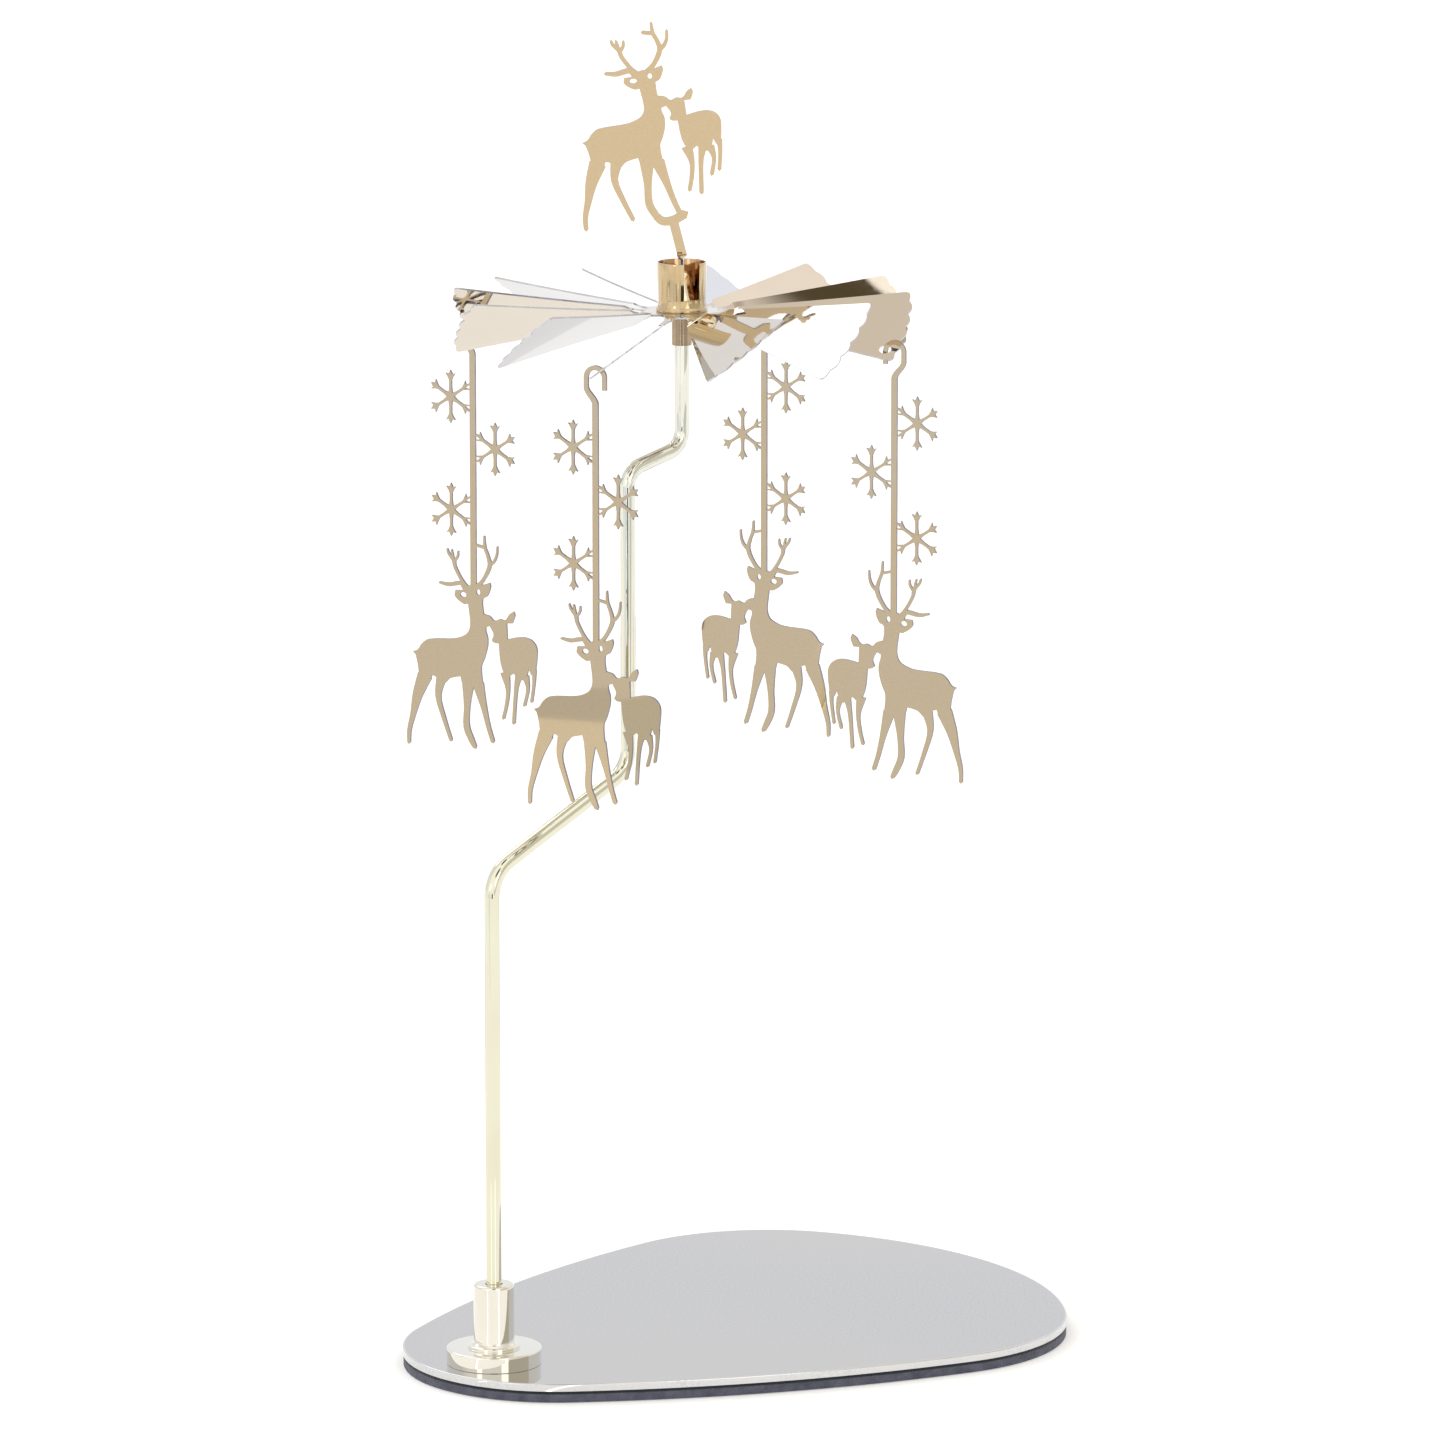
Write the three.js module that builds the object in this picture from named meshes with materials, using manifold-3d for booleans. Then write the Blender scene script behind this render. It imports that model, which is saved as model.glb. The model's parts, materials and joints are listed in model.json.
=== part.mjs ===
// A candle carousel: a heavy plate, a bent rod with a ground point, and a rotor of twelve twisted blades
// that turns on the point in a candle's warm air. Four hanging ornaments and a stag and doe ride on it.
// Lengths are millimetres and angles are degrees. +X is right and +Y is away from the viewer, +Z is up,
// and the origin is on the underside of the foam, straight below the rotor's axis.

import * as THREE from "three";
import { mergeVertices } from "three/addons/utils/BufferGeometryUtils.js";
import Module from "manifold-3d";

const wasm = await Module();
wasm.setup();

// Fits
const seatGap = 0.3; // between pieces that rest on or sit in each other
const overrun = 1; // how far a cutting solid runs past the faces that it cuts
const weldDistance = 1e-4; // points this close are one point
const shortestEdge = 0.03;

// Rod
const rodDiameter = 4;
const rodFootHeight = 8;
const firstBendHeight = 134.4; // where the straight stretches would meet
const armRise = 22.3;
const armStep = 44.2;
const crankDrop = 47.5; // from the point down to the crank's start
const crankRise = 4.7;
const armReach = 61.9; // from the rod's foot to the rotor's axis
const armAzimuth = 38;
const lowBendRadius = 10;
const armTopBendRadius = 9;
const crankBendRadius = 5.5;
const pointHeight = 282.4;
const pointLength = 6;
const pointTipRadius = 0.2;

// Base
const foamThickness = 3.2;
const plateThickness = 1.4;
const plateEdgeRound = 0.35;
const noseRadius = 41;
const cornerRadius = 47;
const tailRadius = 95;
const flankRadius = 290;
const noseToCorners = 89;
const cornerSpread = 27;
const noseToSocket = 24; // the socket stands this far from the nose's centre, towards the nose
const socketOffAxis = 5;
const plateAzimuth = 36.5;
const foamInset = 0.2;

// Socket
const flangeRadius = 12.4;
const flangeHeight = 4.2;
const flangeEdgeRound = 0.5;
const shoulderRadius = 6.9;
const shoulderHeight = 1.5;
const postRadius = 5.3;
const postHeight = 16.6;
const postChamfer = 0.7;
const rodFit = 0.25;

// Screw through the plate into the rod's foot
const screwRadius = 1.25;
const screwHeadRadius = 3;
const screwHeadHeight = 1.5;
const screwReach = 8; // into the rod
const screwRecessWidth = 0.7;
const screwRecessDepth = 0.8;
const foamCutoutRadius = 5;

// Pivot bearing
const bearingSkirt = 8.7; // below the disc's middle
const bearingTubeRadius = 2.6;
const bearingBore = 2.25;
const bellRadius = 4.6;
const bellCap = 2.8; // above the rod's point
const bellRim = 0.8;
const seatConeLength = 2.4; // blunter than the rod's point

// Fan
const discDrop = 7.5; // from the rod's point down to the disc's middle
const sheetThickness = 0.5;
const discRadius = 9.4;
const bladeCount = 12;
const bladeSpan = 60;
const bladeStart = 14.5;
const bladeSector = 24.6;
const neckWidth = 3.4;
const neckRootWidth = 4.4;
const scallopCount = 4;
const scallopDepth = 0.9;
const bladeCornerRadius = 3.4;
const bladePitch = 37;
const bladeDroop = 2;
const firstBladeAzimuth = -13.5;
const hookHoleInset = 4.4; // from the blade's span
const hookHoleFromSide = 3.5;
const hookHoleRadius = 1.6;

// Hub cup and lower collar
const cupWall = 0.5;
const cupRimRadius = 6.45;
const cupWaistRadius = 6.15;
const cupFootRadius = 6.75;
const cupFootHeight = 2.6;
const cupFootBand = 0.9;
const cupFloorThickness = 0.6;
const cupHeight = 12.35;
const cupSlotAzimuth = -64;
const cupSlotWidth = 4.4;
const cupSlotDepth = 9.3;
const cupSlitDepth = 6.6;
const collarRadius = 5.6;
const collarThickness = 0.9;

// Sheet ornaments
const ornamentThickness = 0.8;
const stemWidth = 1.6;
const hookBar = 1.2;
const hookRadius = 2.5; // to the bar's middle
const hookTail = 3.2; // below the hook's centre
const hookLeg = 2.4;
const hookJog = 4.6;
const snowflakeRadius = 6.3;
const snowflakeOffset = 5.4;
const snowflakeDrops = [18.2, 31.5, 48.1]; // below the hook's centre
const headDrop = 68.5;
const figureWidth = 37.2;
const figureHeight = 57.3;

// Top figure
const topFigureHeight = 54;
const topFigureWidth = 37.2;
const topFigureLean = 6;
const topStemLength = 9.8; // above the cup
const topStemWidth = 2.1;
const topStemLean = -2.2; // how far the stem's head lies to the side of its foot
const topTwistLength = 3;
const topTabWidth = 2.2;

// Facets
const turnedFacets = 32;
const rodFacets = 12;
const bendSteps = 6;
const twistSteps = 4;
const arcSteps = 8;
const scallopSteps = 3;
const jogSteps = 4;

// Worked out from the sizes above
const rodRadius = rodDiameter / 2;
const plateBottom = foamThickness + seatGap;
const plateTop = plateBottom + plateThickness;
const socketBottom = plateTop + seatGap;
const armDirection = new THREE.Vector2(Math.cos(radians(armAzimuth)), Math.sin(radians(armAzimuth)));
const rodFoot = armDirection.clone().multiplyScalar(-armReach);
const crankStart = pointHeight - crankDrop;
const discHeight = pointHeight - discDrop;
const bearingBottom = discHeight - bearingSkirt;
const bellTop = pointHeight + bellCap;
const cupFoot = discHeight + sheetThickness / 2 + seatGap;
const cupTop = cupFoot + cupHeight;
const topFigureFoot = cupTop + topStemLength;
const bladeHalfAngle = radians(bladeSector / 2);
const cornerTurn = bladeCornerRadius / bladeSpan;
const hookHoleReach = bladeSpan - hookHoleInset;
const hookHoleOffset = halfChord(hookHoleReach) - hookHoleFromSide;

function radians(degrees) {
  return THREE.MathUtils.degToRad(degrees);
}

// A closed geometry as a manifold-3d solid.
function solidOf(geometry) {
  const bare = geometry.clone();
  bare.deleteAttribute("normal");
  bare.deleteAttribute("uv");
  const merged = mergeVertices(bare, weldDistance);
  return new wasm.Manifold(
    new wasm.Mesh({
      numProp: 3,
      vertProperties: new Float32Array(merged.attributes.position.array),
      triVerts: new Uint32Array(merged.index.array),
    }),
  );
}

// The same solid with the ends of every edge shorter than the given length drawn together.
function tidied(solid, shortest) {
  const { numProp, vertProperties, triVerts } = solid.getMesh();
  const drawnTo = Array.from({ length: vertProperties.length / numProp }, (unused, i) => i);
  const settled = (i) => (drawnTo[i] === i ? i : settled(drawnTo[i]));
  const point = (i) => new THREE.Vector3().fromArray(vertProperties, i * numProp);
  const corners = (i) => [0, 1, 2].map((step) => settled(triVerts[i + step]));
  for (let i = 0; i < triVerts.length; i += 3) {
    for (let step = 0; step < 3; step++) {
      const [from, to] = [corners(i)[step], corners(i)[(step + 1) % 3]];
      if (point(from).distanceTo(point(to)) < shortest) {
        drawnTo[Math.max(from, to)] = Math.min(from, to);
      }
    }
  }
  const faces = [];
  for (let i = 0; i < triVerts.length; i += 3) {
    if (new Set(corners(i)).size === 3) faces.push(...corners(i));
  }
  return new wasm.Manifold(
    new wasm.Mesh({ numProp, vertProperties, triVerts: new Uint32Array(faces) }),
  );
}

// A manifold-3d solid as a three.js geometry with flat faces.
function geometryOf(solid) {
  const mesh = solid.getMesh();
  const positions = new Float32Array(mesh.vertProperties);
  const geometry = new THREE.BufferGeometry();
  geometry.setAttribute("position", new THREE.BufferAttribute(positions, 3));
  geometry.setIndex(new THREE.BufferAttribute(new Uint32Array(mesh.triVerts), 1));
  const flat = geometry.toNonIndexed();
  flat.computeVertexNormals();
  return flat;
}

function joined(solids) {
  return solids.reduce((whole, solid) => whole.add(solid));
}

function cutBy(solid, tools) {
  return tools.reduce((rest, tool) => rest.subtract(tool), solid);
}

// A solid of revolution about Z, from a closed profile of [radius, height] pairs that runs anticlockwise.
function turned(profile, facets = turnedFacets) {
  const points = profile.map(([radius, height]) => new THREE.Vector2(radius, height));
  points.push(points[0].clone());
  const geometry = new THREE.LatheGeometry(points, facets);
  geometry.rotateX(Math.PI / 2);
  return solidOf(geometry);
}

// A round bar along Z, for holes and plain pins.
function roundBar(radius, low, high, facets = turnedFacets) {
  const geometry = new THREE.CylinderGeometry(radius, radius, high - low, facets);
  geometry.rotateX(Math.PI / 2);
  geometry.translate(0, 0, (low + high) / 2);
  return geometry;
}

// A closed skin over rings of equally many points, each ring anticlockwise seen from the last one.
function lofted(rings) {
  const count = rings[0].length;
  const corners = rings.flat();
  const middle = (ring) => ring.reduce((sum, p) => sum.add(p), new THREE.Vector3()).divideScalar(count);
  const startCap = corners.push(middle(rings[0])) - 1;
  const endCap = corners.push(middle(rings[rings.length - 1])) - 1;
  const faces = [];
  for (let i = 0; i < count; i++) {
    const next = (i + 1) % count;
    faces.push(startCap, next, i);
    const last = (rings.length - 1) * count;
    faces.push(endCap, last + i, last + next);
    for (let ring = 0; ring < rings.length - 1; ring++) {
      const low = ring * count;
      const high = low + count;
      faces.push(low + i, low + next, high + next);
      faces.push(low + i, high + next, high + i);
    }
  }
  const geometry = new THREE.BufferGeometry().setFromPoints(corners);
  geometry.setIndex(faces);
  return geometry;
}

// A flat sheet of the given outline, its middle plane on Z = 0.
function sheet(outline, thickness) {
  const geometry = new THREE.ExtrudeGeometry(new THREE.Shape(outline), {
    depth: thickness,
    bevelEnabled: false,
  });
  geometry.translate(0, 0, -thickness / 2);
  return geometry;
}

// The rod's middle line in the arm's upright plane: straight stretches joined by round bends, each station
// with its distance from the foot, its height and the slope of the line there.
function rodStations() {
  const corners = [
    [0, rodFootHeight, 0],
    [0, firstBendHeight, lowBendRadius],
    [armStep, firstBendHeight + armRise, armTopBendRadius],
    [armStep, crankStart, crankBendRadius],
    [armReach, crankStart + crankRise, crankBendRadius],
    [armReach, pointHeight, 0],
  ].map(([reach, height, radius]) => ({ at: new THREE.Vector2(reach, height), radius }));
  const stations = [{ at: corners[0].at, slope: Math.PI / 2 }];
  for (let i = 1; i < corners.length - 1; i++) {
    const before = corners[i].at.clone().sub(corners[i - 1].at).normalize();
    const after = corners[i + 1].at.clone().sub(corners[i].at).normalize();
    const startSlope = before.angle();
    const turn = after.angle() - startSlope;
    const tangent = corners[i].radius * Math.tan(Math.abs(turn) / 2);
    const start = corners[i].at.clone().addScaledVector(before, -tangent);
    const side = Math.sign(turn);
    const bend = side * corners[i].radius;
    const centre = start.clone().addScaledVector(new THREE.Vector2(-before.y, before.x), bend);
    for (let step = 0; step <= bendSteps; step++) {
      const slope = startSlope + (turn * step) / bendSteps;
      const out = new THREE.Vector2(Math.sin(slope), -Math.cos(slope));
      stations.push({ at: centre.clone().addScaledVector(out, bend), slope });
    }
  }
  return stations;
}

function rodRing({ at, slope }, radius) {
  const ring = [];
  for (let i = 0; i < rodFacets; i++) {
    const turn = (2 * Math.PI * i) / rodFacets;
    const across = radius * Math.cos(turn);
    const reach = at.x - across * Math.sin(slope);
    const height = at.y + across * Math.cos(slope);
    const aside = radius * Math.sin(turn);
    ring.push(
      new THREE.Vector3(
        rodFoot.x + reach * armDirection.x + aside * armDirection.y,
        rodFoot.y + reach * armDirection.y - aside * armDirection.x,
        height,
      ),
    );
  }
  return ring;
}

function rod() {
  const rings = rodStations().map((station) => rodRing(station, rodRadius));
  const upright = (height) => ({ at: new THREE.Vector2(armReach, height), slope: Math.PI / 2 });
  rings.push(rodRing(upright(pointHeight - pointLength), rodRadius));
  rings.push(rodRing(upright(pointHeight), pointTipRadius));
  const holeEnd = rodFootHeight + screwReach + seatGap;
  const threadHole = roundBar(screwRadius + seatGap, rodFootHeight - overrun, holeEnd, rodFacets);
  threadHole.translate(rodFoot.x, rodFoot.y, 0);
  return cutBy(solidOf(lofted(rings)), [solidOf(threadHole)]);
}

// The plate's egg outline: a small round nose at the socket's end, two round corners and a blunt tail at
// the other, and long shallow flanks that touch the nose and the corners.
function eggOutline(inset) {
  const nose = new THREE.Vector2(0, 0);
  const corner = new THREE.Vector2(noseToCorners, cornerSpread);
  const flank = innerTouchCentre(nose, noseRadius, corner, cornerRadius, flankRadius);
  const tailReach = Math.sqrt((tailRadius - cornerRadius) ** 2 - cornerSpread ** 2);
  const tail = new THREE.Vector2(noseToCorners - tailReach, 0);
  const angleFrom = (from, to) => Math.atan2(to.y - from.y, to.x - from.x);
  const tailAngle = angleFrom(tail, corner);
  const flankEnd = angleFrom(flank, corner);
  const flankStart = angleFrom(flank, nose);
  const half = [
    ...arcPoints(tail, tailRadius - inset, 0, tailAngle, arcSteps / 2),
    ...arcPoints(corner, cornerRadius - inset, tailAngle, flankEnd, arcSteps),
    ...arcPoints(flank, flankRadius - inset, flankEnd, flankStart, arcSteps / 2),
    ...arcPoints(nose, noseRadius - inset, flankStart, Math.PI, arcSteps),
  ];
  const otherHalf = half.map((p) => new THREE.Vector2(p.x, -p.y)).reverse();
  const all = [...half, new THREE.Vector2(inset - noseRadius, 0), ...otherHalf.slice(0, -1)];
  const turn = radians(plateAzimuth);
  const place = new THREE.Vector2(noseToSocket, socketOffAxis).rotateAround(nose, turn).add(rodFoot);
  return all.map((p) => p.clone().rotateAround(nose, turn).add(place));
}

// The centre of a large circle of the given radius that touches two smaller ones, which lie inside it.
function innerTouchCentre(a, radiusA, b, radiusB, radius) {
  const reachA = radius - radiusA;
  const reachB = radius - radiusB;
  const along = b.clone().sub(a);
  const distance = along.length();
  const share = (reachA ** 2 - reachB ** 2 + distance ** 2) / (2 * distance);
  const aside = Math.sqrt(reachA ** 2 - share ** 2);
  along.normalize();
  const across = new THREE.Vector2(along.y, -along.x);
  return a.clone().addScaledVector(along, share).addScaledVector(across, aside);
}

// Points on an arc, without its last one.
function arcPoints(centre, radius, from, to, steps) {
  return Array.from({ length: steps }, (unused, i) => {
    const angle = from + ((to - from) * i) / steps;
    return new THREE.Vector2(centre.x + radius * Math.cos(angle), centre.y + radius * Math.sin(angle));
  });
}

function foamPad() {
  const pad = sheet(eggOutline(foamInset), foamThickness);
  pad.translate(0, 0, foamThickness / 2);
  const cutout = roundBar(foamCutoutRadius, -overrun, foamThickness + overrun);
  cutout.translate(rodFoot.x, rodFoot.y, 0);
  return cutBy(solidOf(pad), [solidOf(cutout)]);
}

function basePlate() {
  const plate = new THREE.ExtrudeGeometry(new THREE.Shape(eggOutline(0)), {
    depth: plateThickness - 2 * plateEdgeRound,
    bevelThickness: plateEdgeRound,
    bevelSize: plateEdgeRound,
    bevelOffset: -plateEdgeRound,
    bevelSegments: 1,
  });
  plate.translate(0, 0, plateBottom + plateEdgeRound);
  const hole = roundBar(screwRadius + seatGap, plateBottom - overrun, plateTop + overrun);
  hole.translate(rodFoot.x, rodFoot.y, 0);
  return cutBy(solidOf(plate), [solidOf(hole)]);
}

function rodSocket() {
  const bore = rodRadius + rodFit;
  const boreFloor = rodFootHeight - seatGap;
  const screwHole = screwRadius + seatGap;
  const flangeTop = socketBottom + flangeHeight;
  const shoulderTop = flangeTop + shoulderHeight;
  const top = socketBottom + postHeight + flangeHeight;
  return turned([
    [screwHole, socketBottom],
    [flangeRadius, socketBottom],
    [flangeRadius, flangeTop - flangeEdgeRound],
    [flangeRadius - flangeEdgeRound, flangeTop],
    [shoulderRadius, flangeTop],
    [shoulderRadius, shoulderTop - shoulderHeight / 2],
    [shoulderRadius - shoulderHeight / 2, shoulderTop],
    [postRadius, shoulderTop],
    [postRadius, top - postChamfer],
    [postRadius - postChamfer, top],
    [bore + postChamfer / 2, top],
    [bore, top - postChamfer / 2],
    [bore, boreFloor],
    [screwHole, boreFloor],
  ]);
}

// The screw's head hangs in the foam's cut-out and bears on the plate from below.
function baseScrew() {
  const headTop = plateBottom - seatGap;
  const headBottom = headTop - screwHeadHeight;
  const body = turned([
    [0, headBottom],
    [screwHeadRadius - screwHeadHeight / 2, headBottom],
    [screwHeadRadius, headBottom + screwHeadHeight / 2],
    [screwHeadRadius, headTop],
    [screwRadius, headTop],
    [screwRadius, rodFootHeight + screwReach - screwRadius],
    [0, rodFootHeight + screwReach],
  ]);
  const recess = [0, Math.PI / 2].map((turn) => {
    const slot = new THREE.BoxGeometry(screwHeadRadius, screwRecessWidth, 2 * screwRecessDepth);
    slot.rotateZ(turn);
    slot.translate(0, 0, headBottom);
    return solidOf(slot);
  });
  return cutBy(body, recess);
}

// The bearing is one turning: a tube round the rod's end, and a bell head whose inner cone sits on the
// rod's point.
function pivotBearing() {
  const bellHeight = bellTop - cupFoot;
  const bellShares = [
    [0.86, 0.27],
    [0.66, 0.5],
    [0.52, 0.74],
    [0.36, 0.92],
    [0.18, 0.98],
  ];
  const bell = bellShares.map(([out, up]) => [out * bellRadius, cupFoot + up * bellHeight]);
  const coneTip = pointHeight + seatGap + pointTipRadius;
  return turned([
    [bearingBore, bearingBottom],
    [bearingTubeRadius, bearingBottom],
    [bearingTubeRadius, cupFoot],
    [bellRadius, cupFoot],
    [bellRadius, cupFoot + bellRim],
    ...bell,
    [0, bellTop],
    [0, coneTip],
    [bearingBore, coneTip - seatConeLength],
  ]);
}

// Turns a blade's own frame (X along the blade, Y across it, Z through the sheet) into the rotor's place.
function bladePlace(index, pitch = bladePitch, droop = bladeDroop) {
  const azimuth = firstBladeAzimuth + (360 / bladeCount) * index;
  return new THREE.Matrix4()
    .makeTranslation(0, 0, discHeight)
    .multiply(new THREE.Matrix4().makeRotationZ(radians(azimuth)))
    .multiply(new THREE.Matrix4().makeRotationY(radians(droop)))
    .multiply(new THREE.Matrix4().makeRotationX(radians(pitch)));
}

function halfChord(reach) {
  return reach * Math.tan(bladeHalfAngle);
}

// The neck's half width: it narrows between the disc and the blade.
function neckHalf(share) {
  const straight = THREE.MathUtils.lerp(neckRootWidth / 2, halfChord(bladeStart), share);
  return straight + (neckWidth / 2 - straight) * Math.sin(Math.PI * share);
}

// The rim's reach at an angle from the blade's middle line: shallow scallops between two round corners.
function rimReach(angle) {
  const share = (1 + angle / (bladeHalfAngle - cornerTurn)) / 2;
  const wave = Math.abs(Math.sin(Math.PI * scallopCount * share));
  return bladeSpan - scallopDepth * (1 - wave);
}

// A blade's flat outline with its neck: straight sides that spread from the hub to the scalloped rim.
function bladeOutline() {
  const rim = [];
  const steps = scallopCount * scallopSteps;
  for (let i = 0; i <= steps; i++) {
    const angle = (bladeHalfAngle - cornerTurn) * ((2 * i) / steps - 1);
    rim.push(new THREE.Vector2(rimReach(angle), 0).rotateAround(new THREE.Vector2(), angle));
  }
  const side = [new THREE.Vector2(discRadius - neckRootWidth / 4, neckHalf(0))];
  for (let step = 0; step <= twistSteps; step++) {
    const share = step / twistSteps;
    side.push(new THREE.Vector2(THREE.MathUtils.lerp(discRadius, bladeStart, share), neckHalf(share)));
  }
  const sideEnd = bladeSpan - bladeCornerRadius;
  side.push(new THREE.Vector2(sideEnd, halfChord(sideEnd)));
  const corner = new THREE.Vector2(bladeSpan - bladeCornerRadius / 4, 0);
  side.push(corner.rotateAround(new THREE.Vector2(), bladeHalfAngle - cornerTurn / 4));
  const otherSide = side.map((p) => new THREE.Vector2(p.x, -p.y));
  return [...otherSide, ...rim, ...side.reverse()];
}

// A blade bent out of the flat sheet: its neck twists from the disc's plane into the blade's pitch.
function blade(index) {
  const geometry = sheet(bladeOutline(), sheetThickness);
  const positions = geometry.getAttribute("position");
  for (let i = 0; i < positions.count; i++) {
    const point = new THREE.Vector3().fromBufferAttribute(positions, i);
    const share = THREE.MathUtils.clamp((point.x - discRadius) / (bladeStart - discRadius), 0, 1);
    point.applyMatrix4(bladePlace(index, bladePitch * share, bladeDroop * share));
    positions.setXYZ(i, point.x, point.y, point.z);
  }
  return solidOf(geometry);
}

// Blades that carry an ornament, and whether its hook goes over the blade's rim or over its lower side.
const carriers = [
  { name: "ornament_right", blade: 0, overRim: true },
  { name: "ornament_back_right", blade: 3, overRim: false },
  { name: "ornament_left", blade: 6, overRim: true },
  { name: "ornament_front_left", blade: 9, overRim: false },
];

function fan() {
  const discTop = discHeight + sheetThickness / 2;
  const discBottom = discTop - sheetThickness;
  const disc = solidOf(roundBar(discRadius, discBottom, discTop));
  const blades = Array.from({ length: bladeCount }, (unused, index) => blade(index));
  const shaftHole = roundBar(bearingTubeRadius + seatGap, discBottom - overrun, discTop + overrun);
  const hookHoles = carriers.map((carrier) => {
    const hole = roundBar(hookHoleRadius, -overrun, overrun, arcSteps * 2);
    hole.translate(hookHoleReach, -hookHoleOffset, 0);
    hole.applyMatrix4(bladePlace(carrier.blade));
    return solidOf(hole);
  });
  return cutBy(joined([disc, ...blades]), [solidOf(shaftHole), ...hookHoles]);
}

// The spring cup: a thin wall that widens to its rim, on a flared foot with a narrow inner lip.
function hubCup() {
  const waist = cupFoot + cupFootHeight;
  const lipRadius = bellRadius + seatGap;
  const body = turned([
    [lipRadius, cupFoot],
    [cupFootRadius - cupFootBand / 4, cupFoot],
    [cupFootRadius, cupFoot + cupFootBand / 4],
    [cupFootRadius, cupFoot + cupFootBand],
    [cupWaistRadius, waist],
    [cupRimRadius, cupTop],
    [cupRimRadius - cupWall, cupTop],
    [cupWaistRadius - cupWall, waist],
    [cupWaistRadius - cupWall, cupFoot + cupFloorThickness],
    [lipRadius, cupFoot + cupFloorThickness],
  ]);
  const gap = (azimuth, width, depth) => {
    const cutter = new THREE.BoxGeometry(cupRimRadius + overrun, width, depth + overrun);
    cutter.translate((cupRimRadius + overrun) / 2, 0, cupTop - (depth - overrun) / 2);
    cutter.rotateZ(radians(azimuth));
    return solidOf(cutter);
  };
  const slitWidth = ornamentThickness + 2 * seatGap;
  return cutBy(body, [gap(cupSlotAzimuth, cupSlotWidth, cupSlotDepth), gap(90, slitWidth, cupSlitDepth)]);
}

function lowerCollar() {
  const top = discHeight - sheetThickness / 2 - seatGap;
  const bore = bearingTubeRadius + seatGap;
  return turned([
    [bore, top - collarThickness],
    [collarRadius - collarThickness / 2, top - collarThickness],
    [collarRadius, top - collarThickness / 2],
    [collarRadius, top],
    [bore, top],
  ]);
}

// The stag and doe, as shares of the figure's width and height from its lower left corner. Bodies are closed
// outlines. Legs and antlers are limbs: a middle line with the limb's width at each of its points.
const stagBodyShares = [
  [0.49, 0.765], [0.445, 0.742], [0.383, 0.738], [0.38, 0.71], [0.445, 0.677], [0.479, 0.678],
  [0.495, 0.59], [0.484, 0.555], [0.456, 0.534], [0.374, 0.513], [0.176, 0.502], [0.126, 0.48],
  [0.093, 0.45], [0.057, 0.44], [0.078, 0.424], [0.1, 0.348], [0.095, 0.3], [0.18, 0.3],
  [0.2, 0.335], [0.225, 0.33], [0.3, 0.3], [0.34, 0.325], [0.418, 0.338], [0.44, 0.3],
  [0.51, 0.29], [0.587, 0.3], [0.577, 0.388], [0.602, 0.43], [0.624, 0.483], [0.626, 0.523],
  [0.611, 0.56], [0.614, 0.6], [0.595, 0.64], [0.59, 0.703], [0.624, 0.718], [0.65, 0.762],
  [0.643, 0.782], [0.577, 0.768],
];
const doeBodyShares = [
  [0.6, 0.634], [0.644, 0.626], [0.677, 0.607], [0.716, 0.616], [0.758, 0.613], [0.791, 0.641],
  [0.824, 0.656], [0.833, 0.636], [0.813, 0.6], [0.77, 0.599], [0.775, 0.525], [0.846, 0.536],
  [0.912, 0.538], [0.962, 0.526], [0.995, 0.497], [1, 0.456], [0.985, 0.37], [0.955, 0.365],
  [0.935, 0.395], [0.915, 0.34], [0.877, 0.34], [0.82, 0.368], [0.765, 0.34], [0.725, 0.409],
  [0.71, 0.503], [0.677, 0.505], [0.657, 0.515], [0.671, 0.544], [0.643, 0.581], [0.6, 0.57],
];
const legShares = [
  [[0.145, 0.33, 0.11], [0.09, 0.24, 0.075], [0.055, 0.15, 0.042], [0.024, 0.07, 0.03],
    [0.021, 0.012, 0.024]],
  [[0.275, 0.335, 0.08], [0.247, 0.24, 0.042], [0.29, 0.135, 0.03], [0.342, 0.037, 0.024]],
  [[0.475, 0.31, 0.09], [0.466, 0.2, 0.046], [0.462, 0.105, 0.046], [0.498, 0.045, 0.042],
    [0.524, 0.012, 0.03]],
  [[0.55, 0.31, 0.085], [0.594, 0.2, 0.044], [0.628, 0.11, 0.032], [0.66, 0.044, 0.03]],
  [[0.755, 0.37, 0.07], [0.777, 0.29, 0.03], [0.766, 0.22, 0.024], [0.742, 0.155, 0.022]],
  [[0.858, 0.36, 0.05], [0.838, 0.29, 0.028], [0.82, 0.136, 0.024]],
  [[0.91, 0.36, 0.05], [0.928, 0.3, 0.024], [0.902, 0.222, 0.022]],
  [[0.976, 0.39, 0.034], [0.974, 0.33, 0.022], [0.956, 0.242, 0.02]],
];
const antlerShares = [
  [[0.484, 0.742, 0.037], [0.436, 0.78, 0.024], [0.38, 0.846, 0.022], [0.369, 0.878, 0.026],
    [0.332, 0.907, 0.017], [0.322, 0.926, 0.012]],
  [[0.369, 0.878, 0.018], [0.355, 0.923, 0.012]],
  [[0.374, 0.87, 0.02], [0.4, 0.895, 0.016], [0.404, 0.918, 0.012]],
  [[0.45, 0.776, 0.029], [0.387, 0.769, 0.03], [0.33, 0.762, 0.026], [0.262, 0.769, 0.015]],
  [[0.425, 0.776, 0.022], [0.46, 0.735, 0.024]],
  [[0.54, 0.755, 0.037], [0.591, 0.791, 0.026], [0.642, 0.86, 0.029], [0.629, 0.906, 0.022],
    [0.607, 0.945, 0.02], [0.602, 0.995, 0.012]],
  [[0.611, 0.942, 0.02], [0.538, 0.953, 0.018]],
  [[0.637, 0.858, 0.024], [0.676, 0.882, 0.02], [0.696, 0.913, 0.016], [0.701, 0.95, 0.012]],
];
const holeShares = [
  { at: [0.557, 0.735], across: 0.015, up: 0.014 },
  { at: [0.443, 0.719], across: 0.024, up: 0.012 },
];
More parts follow.
